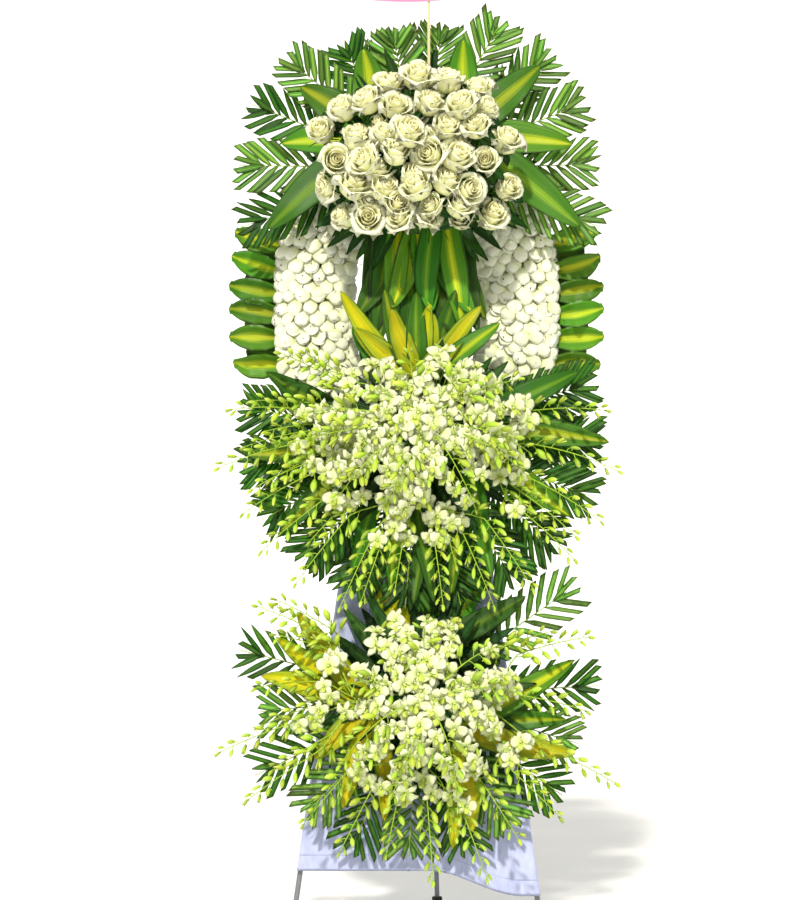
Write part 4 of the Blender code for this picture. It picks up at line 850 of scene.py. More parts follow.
# The card's chamfer, and how far its face lies behind the crest of the border
CARD_CHAMFER = 0.0012
CARD_SUNK = 0.0006
CARD_SIDES = 72
STICK_DEPTH = 0.026
BAMBOO_NODES = (1.93, 2.06, 2.17)
CLOTH_TOP = 0.900
CLOTH_HEM = 0.188
CLOTH_FLAP_DROP = 0.055
CLOTH_EDGE_Y = 0.009
CLOTH_CORNER = 0.006
CLOTH_COLUMNS, CLOTH_LEVELS = 84, 96
STITCH_RADIUS = 0.0007
STITCH_PROUD = 0.0009
SEAM_RISE = 0.035
# Slant, pitch, depth and shift of each run of creases
CREASES = ((0.9, 0.085, 0.0030, 0.0), (-1.3, 0.120, 0.0026, 1.7), (0.25, 0.050, 0.0016, 0.6))

# The easel's other sizes
BEVEL = 0.0012
ROD_SIDES = 16
WELD_SIZE = (0.0062, 0.016, 0.0055)
APEX_PLATE = (0.075, 0.005, 0.045)
APEX_DROP = 0.01
REAR_REACH = 0.50
REAR_FOOT_X = 0.055

# The stage and the photo's camera
STAGE_REACH = 14.0
STAGE_HEIGHT = 16.0
SKY_STRENGTH = 0.66
KEY_POWER = 3.3
KEY_SPREAD = math.radians(3)
KEY_DIRECTION = (0.16, 1.0, -0.86)
CAMERA_PLACE = (-0.04, -6.28, 1.12)
CAMERA_LENS, CAMERA_SENSOR = 109, 36  # mm


# Shapes of leaves, petals and blooms, in a frame of their own with +Y along them


def share_and_side(rows, columns):
    """Two grids over a blade: the share of its length, from 0 to 1, and its side, from -1 to 1."""
    return np.meshgrid(np.linspace(0, 1, rows), np.linspace(-1, 1, columns), indexing="ij")


def blade_grid(rows, columns, half_width, depth):
    """Points of a flat blade one long, with its half width and its relief given by its share and side."""
    share, side = share_and_side(rows, columns)
    return np.stack([side * half_width(share), share, depth(share, side)], axis=-1)


def leaflet(droop, blunt, slant):
    """A palm leaflet: folded along its vein, its end cut off parallel to the rib or left pointed."""

    def half(share):
        end = 1.0 - 0.16 * share if blunt else np.clip((1.02 - share) / 0.45, 0.05, 1.0) ** 0.7
        return (0.16 + 0.34 * smooth_step(share / 0.3)) * end

    def fold(share, side):
        return 0.30 * np.abs(side) * half(share) - droop * share * share

    grid = blade_grid(9, 3, half, fold)
    grid[..., 1] += slant * grid[..., 0] * smooth_step((grid[..., 1] - 0.6) / 0.4)
    return [skin(grid, 0.05)]


def pearl_petal(lift, curl):
    """One petal of the wreath: round, domed like a shell, its free edge rolled."""

    def half(share):
        return 0.5 * np.clip(1 - np.abs(2 * share - 1) ** 2.6, 0.02, 1.0) ** 0.5

    def depth(share, side):
        dome = lift * np.clip(1 - side * side, 0, 1) * np.sin(np.pi * np.clip(share, 0, 1)) ** 0.8
        ruffle = 0.05 * np.sin(3.5 * side + 9 * share) * share * np.abs(side)
        return dome - curl * np.clip(share - 0.7, 0, 1) ** 2 + ruffle

    return [skin(blade_grid(8, 7, half, depth), 0.03)]


def cup_petal(turn, radius, foot, top, wrap, flare, curl, tone, draw):
    """A rose petal that wraps part of the way round the bloom's axis, +Y, and rolls out at its rim."""
    share, side = share_and_side(7, 7)
    broad = 0.5 + 0.5 * np.sin(np.pi * np.clip(0.12 + 0.68 * share, 0, 1))
    angle = turn + side * wrap / 2 * broad
    roll = np.clip((share - 0.66) / 0.34, 0, 1)
    ripple = 0.03 * np.sin(side * 4.0 + draw.uniform(0, 6.0)) * roll
    out = radius * np.clip(share / 0.35, 0.08, 1) ** 0.6 * (1 + flare * share**2)
    out = out + curl * roll**1.5 * (0.75 + 0.45 * side * side) + ripple
    dip = curl * 0.75 * roll**2 * (0.6 + 0.6 * side * side) - 0.05 * (1 - np.abs(side)) ** 2 * roll
    height = foot + (top - foot) * share * (1 - 0.13 * side**4) - dip
    return skin(np.stack([out * np.cos(angle), height, out * np.sin(angle)], axis=-1), 0.022, tone)


def rose_bloom(seed, openness, slender=1.0):
    """A rose of 17 petals: a rolled heart and four looser whorls, down to a foot 0.92 below its middle."""
    draw = random.Random(seed)
    # Petals, radius, foot, top, wrap in degrees, flare, curl and tone of each whorl
    whorls = (
        (2, 0.14, -0.05, 0.60, 250, -0.10, 0.00, 1.0),
        (3, 0.27, -0.25, 0.62, 185, -0.12, 0.02, 0.85),
        (3, 0.42, -0.50, 0.60, 165, -0.10, 0.06, 0.6),
        (4, 0.57, -0.72, 0.53, 145, 0.0, 0.14, 0.3),
        (5, 0.71, -0.92, 0.40, 124, 0.06, 0.36, 0.0),
    )
    petals = []
    turn = draw.uniform(0, 2 * math.pi)
    for count, radius, foot, top, wrap, flare, curl, tone in whorls:
        turn += math.pi / count + draw.uniform(-0.2, 0.2)
        for k in range(count):
            own_turn = turn + 2 * math.pi * k / count + draw.uniform(-0.12, 0.12)
            out = radius * slender * (1 + draw.uniform(-0.08, 0.06))
            rim = top + draw.uniform(-0.06, 0.05)
            round_by = math.radians(wrap * draw.uniform(0.92, 1.06))
            roll = curl * openness * draw.uniform(0.7, 1.25)
            petals.append(cup_petal(own_turn, out, foot, rim, round_by, flare, roll, tone, draw))
    return petals


def calyx():
    """The green cup under a rose, with five sepals that turn back."""

    def half(share):
        return 0.11 * np.clip(1.02 - share, 0, 1) ** 0.7

    shapes = [lathe([(0, -1.12), (0.12, -1.10), (0.20, -1.0), (0.24, -0.86), (0.16, -0.74), (0, -0.70)], 10)]
    sepal = skin(blade_grid(6, 3, half, lambda share, side: 0.05 * np.abs(side) - 0.35 * share * share), 0.03)
    for k in range(5):
        c, s = math.cos(2 * math.pi * k / 5), math.sin(2 * math.pi * k / 5)
        shapes.append(moved(sepal, basis((c, 0.45, s), (0, 1, 0)), (0.15 * c, -0.86, 0.15 * s), 0.75))
    return shapes


def toothed_leaf(droop):
    """A rose leaf: oval and pointed, with a saw edge and a sunk midrib."""

    def half(share):
        teeth = 0.04 * np.abs(np.sin(share * math.pi * 9))
        return (0.34 + teeth) * np.sin(np.pi * (0.03 + 0.95 * share) ** 0.85) ** 0.8

    def fold(share, side):
        return 0.10 * np.abs(side) - droop * share * share

    return [skin(blade_grid(14, 5, half, fold), 0.02)]


def tepal(turn, length, width, cup_depth, reflex, tone=0.0):
    """One part of an orchid flower that faces +Y: from its centre outwards at a turn from straight up."""
    share, side = share_and_side(6, 5)
    across = side * (width / 2 * np.sin(np.pi * np.clip(0.08 + 0.89 * share, 0, 1) ** 1.05) ** 0.72)
    rise = 0.16 * np.sin(np.pi * share) - reflex * share**2 + cup_depth * side**2 * np.sin(np.pi * share)
    rise = rise + 0.07 * side**2 * share * np.sin(9 * share + 3 * side + 5 * turn)
    along, c, s = length * share, math.cos(turn), math.sin(turn)
    return skin(np.stack([along * s + across * c, rise, along * c - across * s], axis=-1), 0.035, tone)


def orchid_floret(seed, reflex):
    """A dendrobium flower that faces +Y: three sepals, two broad petals, a curled lip and its column."""
    draw = random.Random(seed)
    # Turn in degrees, length, width, cup and reflex of the upper sepal, the lower ones and the petals
    upper, low = (0, 1.0, 0.56, -0.10, reflex), (0.92, 0.54, -0.10, reflex + 0.1)
    broad = (0.98, 0.92, 0.10, reflex * 0.5)
    parts = []
    for turn, length, width, deep, back in (upper, (140, *low), (-140, *low), (66, *broad), (-66, *broad)):
        turn = math.radians(turn) + draw.uniform(-0.12, 0.12)
        parts.append(tepal(turn, length, width, deep, back + draw.uniform(-0.12, 0.12)))
    parts.append(moved(tepal(math.pi, 0.62, 0.48, 0.30, -0.30, 1.0), offset=(0, 0.05, 0)))
    column = lathe([(0, -0.05), (0.07, 0.0), (0.09, 0.18), (0.07, 0.30), (0, 0.34)], 7, tone=0.8)
    return [*parts, moved(column, offset=(0, 0, 0.04))]


def plump_bud(bend, swell):
    """A closed orchid bud one long, with the little spur at its base."""
    profile = [(0, 0), (0.06, 0.03), (0.13, 0.14), (0.19 * swell, 0.34), (0.215 * swell, 0.52)]
    profile += [(0.185 * swell, 0.72), (0.10, 0.90), (0, 1.0)]
    spur = lathe([(0, 0.0), (0.07, 0.04), (0.05, 0.16), (0, 0.24)], 6)
    return [lathe(profile, 8, bend), moved(spur, basis((0, -0.2, -1), (0, 1, 0)), (0, 0.20, -0.08))]


def opening_bud(bend):
    """A bud that has begun to part: three sepals closed round two petals."""

    def half(share):
        return 0.20 * np.sin(np.pi * np.clip(0.1 + 0.88 * share, 0, 1)) ** 0.7

    def bow(share, side):
        return 0.13 * np.sin(np.pi * share * 0.8) - 0.10 * side * side + 0.12 * share**3

    shapes = [lathe([(0, 0), (0.07, 0.05), (0.13, 0.3), (0.11, 0.6), (0, 0.86)], 7, bend)]
    sepal = skin(blade_grid(6, 4, half, bow), 0.03)
    for k in range(3):
        angle = 2 * math.pi * k / 3 + 0.4
        outward = np.array((math.cos(angle), 0, math.sin(angle)))
        shapes.append(moved(sepal, basis((0, 1, 0), outward), outward * 0.04))
    return shapes


def strap_outline(share):
    """Half width of a strap leaf as a share of its widest, from nearly nothing at its root."""
    return np.sin(np.pi * (0.04 + 0.96 * share) ** 0.86) ** 0.58


def rim_outline(share):
    """As strap_outline, for the leaves of the wreath's rim: broad almost from the root, with a blunt tip."""
    tip = np.clip(1 - np.clip((share - 0.42) / 0.58, 0, 1) ** 2.4, 0.0, 1.0) ** 0.75
    return (0.62 + 0.38 * smooth_step(share / 0.45)) * tip


def strap_leaf(root, out, sideways, forward, length, width, outline, narrow, deep, draw):
    """A broad leaf in the display: folded along its midrib, waved at its margins, bowed and twisted."""
    share, side = share_and_side(26, 9)
    tip = np.clip((1 - share) / 0.02, 0.0, 1.0)
    half = np.maximum(np.maximum(narrow * tip, 0.0004), width / 2 * outline(share))
    ripple, lag, start = draw.uniform(16, 24), draw.uniform(0.5, 1.5), draw.uniform(0, 6)
    wave = 0.0022 * np.sin(share * ripple + np.sign(side) * lag + start)
    fold = deep * half * np.abs(side) ** 1.3
    arch = draw.uniform(-0.004, 0.012) * np.sin(math.pi * share)
    curl = draw.uniform(-0.010, 0.016) * smooth_step((share - 0.65) / 0.35) ** 2
    twist = draw.uniform(-0.30, 0.30) * share
    bow = draw.uniform(-0.035, 0.035) * length * np.sin(math.pi * share)
    lift = fold + wave * side**2 * strap_outline(np.clip(share, 0.02, 0.98)) + arch + curl
    across = side * half
    place = root + out * (length * share)[..., None]
    place = place + sideways * (across * np.cos(twist) - lift * np.sin(twist) + bow)[..., None]
    return place + forward * (lift * np.cos(twist) + across * np.sin(twist))[..., None]


# Pieces


FORWARD = np.array((0.0, -1.0, 0.0))
UP = np.array((0.0, 0.0, 1.0))


def hub(tier, depth, sideways=0.0):
    """The axis of a tier's foam disc, depth metres in front of its back, or a place beside it."""
    x, z, back = TIERS[tier]
    return np.array((x + sideways, back - depth, z))


def stray(draw, across, low, high):
    """A random vector in the display's plane: up to across to each side, and from low to high upwards."""
    return np.array((draw.uniform(-across, across), 0, draw.uniform(low, high)))


def bowed(start, bend, end, count):
    """Points of a line from start to end that is drawn towards bend."""
    shares = np.linspace(0, 1, count)[:, None]
    return start * (1 - shares) ** 2 + bend * 2 * shares * (1 - shares) + end * shares * shares


def frond_outline(share):
    """Half width of a trimmed frond as a share of its widest, from its first leaflet to its tip."""
    return 0.45 + 0.55 * math.sin(math.pi * (0.15 + 0.80 * share)) ** 0.8


def frond(tier, layer, peg_angle, angle, reach, draw):
    """The spots of a frond's leaflets and the line of its rib."""
    middle = hub(tier, 0)
    out, aside = disc_turn(angle), disc_turn(angle + 90)
    start, length = middle + out * FROND_START, reach - FROND_START
    spots = []
    count = LEAFLETS[tier]
    for k in range(count + len(END_LEAFLETS)):
        for side in (-1, 1):
            share = (k + 0.35 + 0.12 * side) / count * 0.90 - 0.06
            slope = math.radians(58 - 24 * max(share, 0) + draw.uniform(-4, 4))
            if k >= count:
                share, degrees = END_LEAFLETS[k - count]
                slope = math.radians(degrees + draw.uniform(-2, 2))
            width = FROND_HALF_WIDTH * frond_outline(max(share, 0))
            run = min(width / math.sin(slope), (length - share * length) / math.cos(slope))
            run = run * draw.uniform(0.86, 1.0)
            base = start + out * share * length
            end = base + (out * math.cos(slope) + aside * side * math.sin(slope)) * run
            low = fan_point(tier, layer, base)
            along = fan_point(tier, layer, end, draw.uniform(-0.006, 0.006)) - low
            facing = FORWARD + aside * side * math.tan(math.radians(draw.uniform(-32, 12)))
            thick = LEAFLET_WIDTH[tier] * draw.uniform(0.82, 1.15)
            kind = draw.choice((0, 1) if side > 0 else (2, 3))
            if layer == "palm_back" and draw.random() < 0.3:
                kind = draw.choice((4, 5))
            spots.append((low, along, facing, (thick, np.linalg.norm(along), thick), kind))
    root = middle + disc_turn(peg_angle) * PEG_END
    stalk = [root + (start - root) * share for share in np.linspace(0, 1, 5)[:-1]]
    stalk += [start + out * length * share for share in np.linspace(0, 0.97, 10)]
    line = np.array([fan_point(tier, layer, point, -0.0006) for point in stalk])
    return spots, (line, np.linspace(*RIB_RADII, len(line)))


def add_palms():
    """Every bunch of fronds, its leaflets copied along thin ribs."""
    # Droop, blunt end and slant of each kind: blunt ones for each side of a rib, then pointed ones
    blunt = ((0.06, True, 0.15), (0.16, True, 0.15), (0.02, True, -0.15), (0.12, True, -0.15))
    pointed = ((0.10, False, 0.0), (0.22, False, 0.0))
    leaflets = shelf("leaflet_kinds", [leaflet(*kind) for kind in (*blunt, *pointed)])
    for seed, (name, tier, layer, peg_angle, fronds) in enumerate(PALMS):
        draw = random.Random(100 + seed)
        grown_fronds = [frond(tier, layer, peg_angle, angle, reach, draw) for angle, reach in fronds]
        spots = [spot for some, _ in grown_fronds for spot in some]
        # Fronds of bunches out of the light get the darker leaflet copy: painted shade
        finish = FROND if name in LIT_FROND_BUNCHES else SHADED_FROND
        leaves = copies(name + "_fronds", spots, leaflets, finish, seed)
        piece([leaves, tubes(name + "_ribs", [line for _, line in grown_fronds], RIB)], "palm", name)


def add_broad_leaves():
    """Every bunch of broad leaves, each leaf with curves of its own."""
    for seed, (name, tier, layer, peg_angle, leaves) in enumerate(LEAVES):
        draw = random.Random(200 + seed)
        # Painted shade and light: the back hanging leaves darker, the front ones paler
        darkest, palest = LIT_AND_SHADED_TONES.get(name, (0.0, 1.0))
        parts = []
        rooted = [(0.0, *leaf_plan) for leaf_plan in leaves]
        for order, (shift, angle, reach, width, finish) in enumerate((*rooted, *FILLING.get(name, ()))):
            middle = hub(tier, LAYERS[layer], shift) + (0, (order % 5 - 2) * LEAF_STAGGER, 0)
            root = middle + disc_turn(peg_angle) * PEG_END
            run = middle + disc_turn(angle) * reach - root
            out = unit(run)
            sideways = np.array((-out[2], 0, out[0]))
            size = (np.linalg.norm(run), width, strap_outline, LEAF_ROOT, LEAF_FOLD)
            grid = strap_leaf(root, out, sideways, FORWARD, *size, draw)
            grid[..., 1] -= cup(tier, grid[..., 0], grid[..., 2])
            tone = darkest + (palest - darkest) * draw.random()
            parts.append(direct(f"{name}_blades_{order}", [skin(lean(grid), LEAF_THICKNESS)], finish, [tone]))
        piece(parts, "yellow_leaf" if name in YELLOW_BUNCHES else "striped_leaf", name)


def wreath_point(angle):
    """Centre line of the wreath's band and its outward direction, both in x and z."""
    halves = np.array((WREATH_HALF_WIDTH, WREATH_HALF_HEIGHT))
    turn = np.array((math.cos(angle), math.sin(angle)))
    x, z = place = halves * np.copysign(np.abs(turn) ** (2.0 / WREATH_SQUARENESS), turn)
    out_x, out_z = unit(np.copysign(np.abs(place / halves) ** (WREATH_SQUARENESS - 1), place) / halves)
    return x, z + WREATH_Z, out_x, out_z


def band_point(angle, offset, y):
    """A point of the wreath at an angle, offset metres outwards from its centre line."""
    x, z, out_x, out_z = wreath_point(angle)
    return np.array((x + out_x * offset, y, z + out_z * offset))


def wreath_run(first, last):
    """Angles along an arc of the wreath's centre line, and how far along the line each of them lies."""
    fine = [math.radians(first + (last - first) * k / 400) for k in range(401)]
    steps = np.linalg.norm(np.diff([band_point(angle, 0, 0) for angle in fine], axis=0), axis=1)
    return fine, np.concatenate([[0.0], np.cumsum(steps)])


def wreath_angles(first, last, count):
    """Angles that stand evenly along an arc of the wreath."""
    fine, run = wreath_run(first, last)
    return [fine[int(np.argmin(np.abs(run - run[-1] * k / (count - 1))))] for k in range(count)]


def edge_petal(middle, outward, draw):
    """A petal that hides the band's edge: its free end points outwards and a little down."""
    along = unit(outward + FORWARD * draw.uniform(-0.2, 0.5) - UP * draw.uniform(0.0, 0.5))
    facing = FORWARD + UP * draw.uniform(0.0, 0.4)
    long = PETAL_WIDE * draw.uniform(0.9, 1.1)
    place = middle - along * (long - 0.005) - FORWARD * draw.uniform(-0.006, 0.006)
    return place, along, facing, long, draw.randrange(2)


def face_petal(middle, normal, fall, draw):
    """A petal on the band's front: it lies along the band the way it would fall, its free end raised."""
    fall = fall + stray(draw, 0.9, -0.3, 0.5)
    flat = unit(fall - normal * np.dot(fall, normal))
    raise_by = math.radians(draw.uniform(4, 32))
    along = flat * math.cos(raise_by) + normal * math.sin(raise_by)
    facing = normal * math.cos(raise_by) - flat * math.sin(raise_by)
    wide, long = PETAL_WIDE * draw.uniform(0.8, 1.1), PETAL_LONG * draw.uniform(0.8, 1.1)
    slide = flat * draw.uniform(-0.006, 0.006)
    place = middle + slide - along * long * 0.5 - normal * draw.uniform(0.001, 0.006)
    return place, along, facing, (wide, long, wide), draw.randrange(3)


def add_wreath_petals():
    """White petals in rows over the wreath's band, with dry stigma flecks between them."""
    kinds = ((0.10, 1.2), (0.24, 0.4), (-0.10, 0.3))
    petals = shelf("wreath_petal_kinds", [pearl_petal(*kind) for kind in kinds])
    stigmas = shelf("stigma_kinds", [[lathe([(0, 0), (0.9, 0.2), (1.0, 0.6), (0, 1.0)], 6)]])
    half_depth = PETAL_EDGE - PETAL_FRONT
    for seed, (name, first, last) in enumerate(PETAL_ARCS):
        draw = random.Random(300 + seed)
        spots, flecks = [], []
        rows = round(wreath_run(first, last)[1][-1] / PETAL_PITCH)
        for j, angle in enumerate(wreath_angles(first, last, rows)):
            _, _, out_x, out_z = wreath_point(angle)
            outward = np.array((out_x, 0, out_z))
            for i in range(PETAL_ROUND):
                turn = math.pi * (i + j % 2 * 0.5) / (PETAL_ROUND - 0.5)
                c, s = math.cos(turn), math.sin(turn)
                middle = band_point(angle, c * PETAL_BAND, PETAL_EDGE - s**0.8 * half_depth)
                normal = unit(outward * c / PETAL_BAND + FORWARD * s / half_depth)
                for _ in range(PETALS_AT_ONCE):
                    if i in (0, PETAL_ROUND - 1):
                        spots.append(edge_petal(middle, outward * math.copysign(1, c), draw))
                    else:
                        spots.append(face_petal(middle, normal, outward * c * 1.3 - UP * 0.8, draw))
                if draw.random() < FLECK_SHARE:
                    _, along, facing, _, _ = spots[-1]
                    beside = middle + normal * 0.004 + along * draw.uniform(-0.012, 0.012)
                    flecks.append((beside, along, facing, FLECK_SIZE, 0))
        scales = copies(name + "_scales", spots, petals, PEARL, seed)
        piece([scales, copies(name + "_stigmas", flecks, stigmas, SPECK, seed)], "petals", name)


def along_path(path, share):
    """Point and direction at a share of a path's steps."""
    place = share * (len(path) - 1)
    index = min(int(place), len(path) - 2)
    step = path[index + 1] - path[index]
    return path[index] + step * (place - index), unit(step)


def rim_leaf(root, along, hidden, draw):
    """A leaf that stands out from the rim, turned about its line. A hidden one is shorter and lies behind."""
    side = math.copysign(1, root[0])
    out = np.array((-along[2], 0, along[0]))
    out = unit(out * side * math.copysign(1, out[0]) + UP * RIM_LEAF_RISE)
    broad, forward = np.array((-out[2], 0, out[0])), FORWARD
    reach, fold = RIM_LEAF_REACH, RIM_FOLD
    if hidden:
        root, reach, fold = root - FORWARD * RIM_SETBACK, RIM_BACK_REACH, RIM_BACK_FOLD
    else:
        c, s = math.cos(RIM_LEAF_TURN), math.sin(RIM_LEAF_TURN) * side
        broad, forward = broad * c + np.cross(out, broad) * s, FORWARD * c + np.cross(out, FORWARD) * s
    size = (reach, RIM_LEAF_WIDTH, rim_outline, RIM_ROOT, fold)
    return skin(lean(strap_leaf(root - out * 0.002, out, broad, forward, *size, draw)), LEAF_THICKNESS)


def add_rim_leaves():
    """Leaves that stand out sideways from the wreath's rim, their roots caught by one thin binding strip."""
    stations = wreath_angles(0, 360, WREATH_STATIONS + 1)[:-1]
    for seed, (name, middle) in enumerate(RIM_LEAVES):
        draw = random.Random(400 + seed)
        angles = [stations[(middle + k) % WREATH_STATIONS] for k in (-2, -1, 0, 1, 2)]
        strip = [band_point(angle, WREATH_BAND + GAP + RIM_STRIP, RIM_LEAF_Y) for angle in angles]
        blades, behind = [], []
        for k in range(2 * RIM_LEAF_COUNT - 1):
            place = along_path(strip, (k / 2 + 0.35) / (RIM_LEAF_COUNT - 0.3))
            (behind if k % 2 else blades).append(rim_leaf(*place, k % 2, draw))
        leaves = direct(name + "_blades", blades, STRIPED, [draw.random() for _ in blades])
        # The leaves behind get the darkest tones: painted shade
        shaded = direct(name + "_back_blades", behind, GREEN, [0.1 * draw.random() for _ in behind])
        binding = tubes(name + "_binding", [(np.array(strip), RIM_STRIP * 0.6)], RIB)
        piece([leaves, shaded, binding], "striped_leaf", name)


def square_to(axis, draw):
    """A unit vector square to an axis, at a random turn."""
    return unit(np.cross(axis, (draw.uniform(-1, 1), draw.uniform(-0.2, 0.2), draw.uniform(-1, 1))))


def rose_places():
    """Bunch, and for each bloom its centre and axis. The blooms sit on the dome and look outwards."""
    draw = random.Random(5)
    bunches = []
    for name, row_z, bend, columns in ROSE_ROWS:
        blooms = []
        for x in columns:
            z = row_z + bend * x * x
            flat = (x / DOME_HALF[0]) ** 2 + (z / DOME_HALF[2]) ** 2
            depth = math.sqrt(max(0.0, 1 - min(0.97, flat)))
            shift = (draw.uniform(-1, 1) * 0.003, draw.uniform(-0.012, 0.004), draw.uniform(-1, 1) * 0.004)
            centre = DOME_CENTRE + (x, -DOME_HALF[1] * depth, z) + shift
            normal = unit((x / DOME_HALF[0] ** 2, -depth / DOME_HALF[1], z / DOME_HALF[2] ** 2))
            axis = unit(normal * 0.75 + (draw.uniform(-1, 1) * 0.12, -1, 0.12))
            draw.uniform(0, math.pi)  # Drawn by the model too, so that all places agree with it
            blooms.append((centre, axis))
        bunches.append((name, blooms))
    return bunches


def add_roses():
    """The dome's rows of roses, with half-hidden ones between them, their leaves, cups and stems."""
    kinds = [rose_bloom(1, 0.8), rose_bloom(2, 1.0), rose_bloom(3, 1.3), rose_bloom(4, 0.7, 0.86)]
    blooms, cups = shelf("rose_kinds", kinds), shelf("calyx_kinds", [calyx()])
    foliage = shelf("rose_leaf_kinds", [toothed_leaf(0.1), toothed_leaf(0.35)])
    last = len(ROSE_ROWS) - 1
    for index, (name, places) in enumerate(rose_places()):
        draw = random.Random(500 + index)
        start = hub("top", FOAM_DEPTH + PEG_PROUD * 0.5) + UP * ROSE_PEG_PITCH * (last / 2 - index)
        heads, greens, stems, leaves = [], [], [], []
        between = [((a[0] + b[0]) / 2 + HIDDEN_SHIFT, a[1]) for a, b in zip(places, places[1:])]
        for centre, axis in (*places, *(between[1:-1] if index < last else ())):
            size = ROSE_RADIUS * draw.uniform(0.98, 1.17)
            nudge = (draw.uniform(-0.011, 0.011), draw.uniform(-0.010, 0.006), draw.uniform(-0.011, 0.011))
            centre = centre + nudge
            spread = unit((centre - DOME_CENTRE) / DOME_HALF**2)
            tilt = unit(axis * 0.6 + spread * 0.6 + stray(draw, 0.85, 0.0, 1.4))
            spot = (centre, tilt, square_to(tilt, draw), size)
            heads.append((*spot, draw.randrange(4)))
            greens.append((*spot, 0))
            foot = centre - tilt * size
            stems.append((bowed(start, (start + foot) / 2 - axis * 0.012, foot, 7), ROSE_STEM_RADIUS))
            for _ in range(ROSE_LEAVES):
                aside, long = square_to(axis, draw), draw.uniform(0.034, 0.046)
                place = centre - axis * size * 0.75 + aside * size * 0.35
                along = aside + axis * draw.uniform(-0.1, 0.35)
                leaves.append((place, along, axis, (long * 0.8, long, long), draw.randrange(2)))
        parts = [
            copies(name + "_blooms", heads, blooms, ROSE, index),
            copies(name + "_cups", greens, cups, ROSE_STEM, index),
            copies(name + "_foliage", leaves, foliage, ROSE_LEAF, index),
            tubes(name + "_stems", stems, ROSE_STEM),
        ]
        if index == COLLAR_ROW:
            around = collar("top", ("palm_back", "palm_front"), *ROSE_COLLAR, draw)
            parts.append(copies(name + "_collar", around, foliage, ROSE_LEAF, index))
        piece(parts, "roses", name)


def collar(tier, layers, count, shortest, longest, draw):
    """Spots of dark leaves that close the ring between a foam disc and the fans round it: real filler foliage
    whose dark green also stands in for the shade in that gap, painted shade.
    """
    spots = []
    for k in range(count):
        angle = 360 * (k + draw.uniform(-0.4, 0.4)) / count
        out = disc_turn(angle)
        place = hub(tier, LAYERS[layers[k % len(layers)]] + draw.uniform(0, 0.010)) + out * FOAM_RADIUS * 0.98
        along = out + disc_turn(angle + 90) * draw.uniform(-0.3, 0.3) + FORWARD * draw.uniform(-0.1, 0.25)
        long = draw.uniform(shortest, longest)
        wide = 0.022 + 0.12 * long
        spots.append((place, along, FORWARD, (wide, long, wide), draw.randrange(2)))
    return spots


def dome(spread):
    """Height of a round dome one high, at a distance from its middle."""
    return math.sqrt(max(0.0, 1 - min(1.0, spread) ** 2))


def head_places(base, half, arms, draw):
    """Florets of a dense head, strung on arms that fan out over half an ellipsoid and stray past its edge."""
    florets = []
    for arm in range(arms):
        angle = 2 * math.pi * (arm + draw.uniform(-0.3, 0.3)) / arms
        start, reach = (0.05, 0.42, 0.24)[arm % 3], draw.uniform(0.86, 1.16)
        count = round((reach - start) / FLORET_STEP)
        curve = draw.uniform(-0.35, 0.35)
        for k in range(count):
            spread = start + (reach - start) * (k + draw.uniform(0.2, 0.8)) / count
            turn = angle + curve * spread + draw.uniform(-0.09, 0.09) / max(spread, 0.3)
            x, z = math.cos(turn) * spread, math.sin(turn) * spread - 0.05 * spread**2
            depth = dome(spread) * draw.uniform(0.70, 1.0)
            normal = unit((x * 0.7, -0.55 - depth * 0.5, z * 0.7))
            centre = base + (x * half[0], -depth * half[1], z * half[2])
            florets.append((centre, unit(normal + stray(draw, 0.8, -0.8, 0.4))))
    return florets


def head_stems(base, half, count, draw):
    """Paths of the flowering stems that start among a head's florets and lie outwards over them."""
    paths = []
    for k in range(count):
        angle = 360 * (k + draw.uniform(-0.35, 0.35)) / count
        out, aside = disc_turn(angle), disc_turn(angle + 90) * draw.uniform(-0.25, 0.25)
        first, last = draw.uniform(0.10, 0.45), draw.uniform(0.90, 1.25)
        path = []
        for share in np.linspace(0, 1, 9):
            spread = first + (last - first) * share
            place = base + (out * spread + aside * share**2) * (half[0], 0, half[2])
            proud = dome(spread) * half[1] * 0.78 + (0.010 + 0.014 * math.sin(math.pi * share))
            path.append(place + FORWARD * proud - UP * 0.04 * share**2)
        paths.append(np.array(path))
    return paths


def buds_along(path, first, draw):
    """Spots, shares and stalks of a stem's buds from a share of its length on, smaller towards its tip."""
    run = np.linalg.norm(np.diff(path, axis=0), axis=1).sum() * (1 - first)
    count = max(5, round(run / BUD_PITCH))
    buds, shares, stalks = [], [], []
    for k in range(count):
        share = min(0.995, first + (1 - first) * (k + draw.uniform(-0.2, 0.2)) / (count - 1))
        foot, ahead = along_path(path, max(0.0, share))
        aside = unit(np.cross(ahead, FORWARD)) * (1 if k % 2 else -1)
        young = (share - first) / (1 - first)
        long = BUD_LENGTH * (1.12 - 0.55 * young) * draw.uniform(0.9, 1.1)
        outward = aside * draw.uniform(0.5, 1.0) + FORWARD * draw.uniform(-0.3, 0.6)
        lean_out = unit(outward + ahead * draw.uniform(0.3, 0.7))
        place = foot + lean_out * (0.016 - 0.009 * young)
        if k == count - 1:
            lean_out, place = ahead, foot
        along = unit(lean_out + ahead * 0.5 - UP * draw.uniform(0.1, 0.5))
        hang = (foot + place) / 2 + UP * 0.0015
        stalks.append((np.array([foot, hang, place + along * 0.001]), BUD_STALK))
        buds.append((place, along, UP, long, draw.randrange(4)))
        shares.append(share)
    return buds, shares, stalks


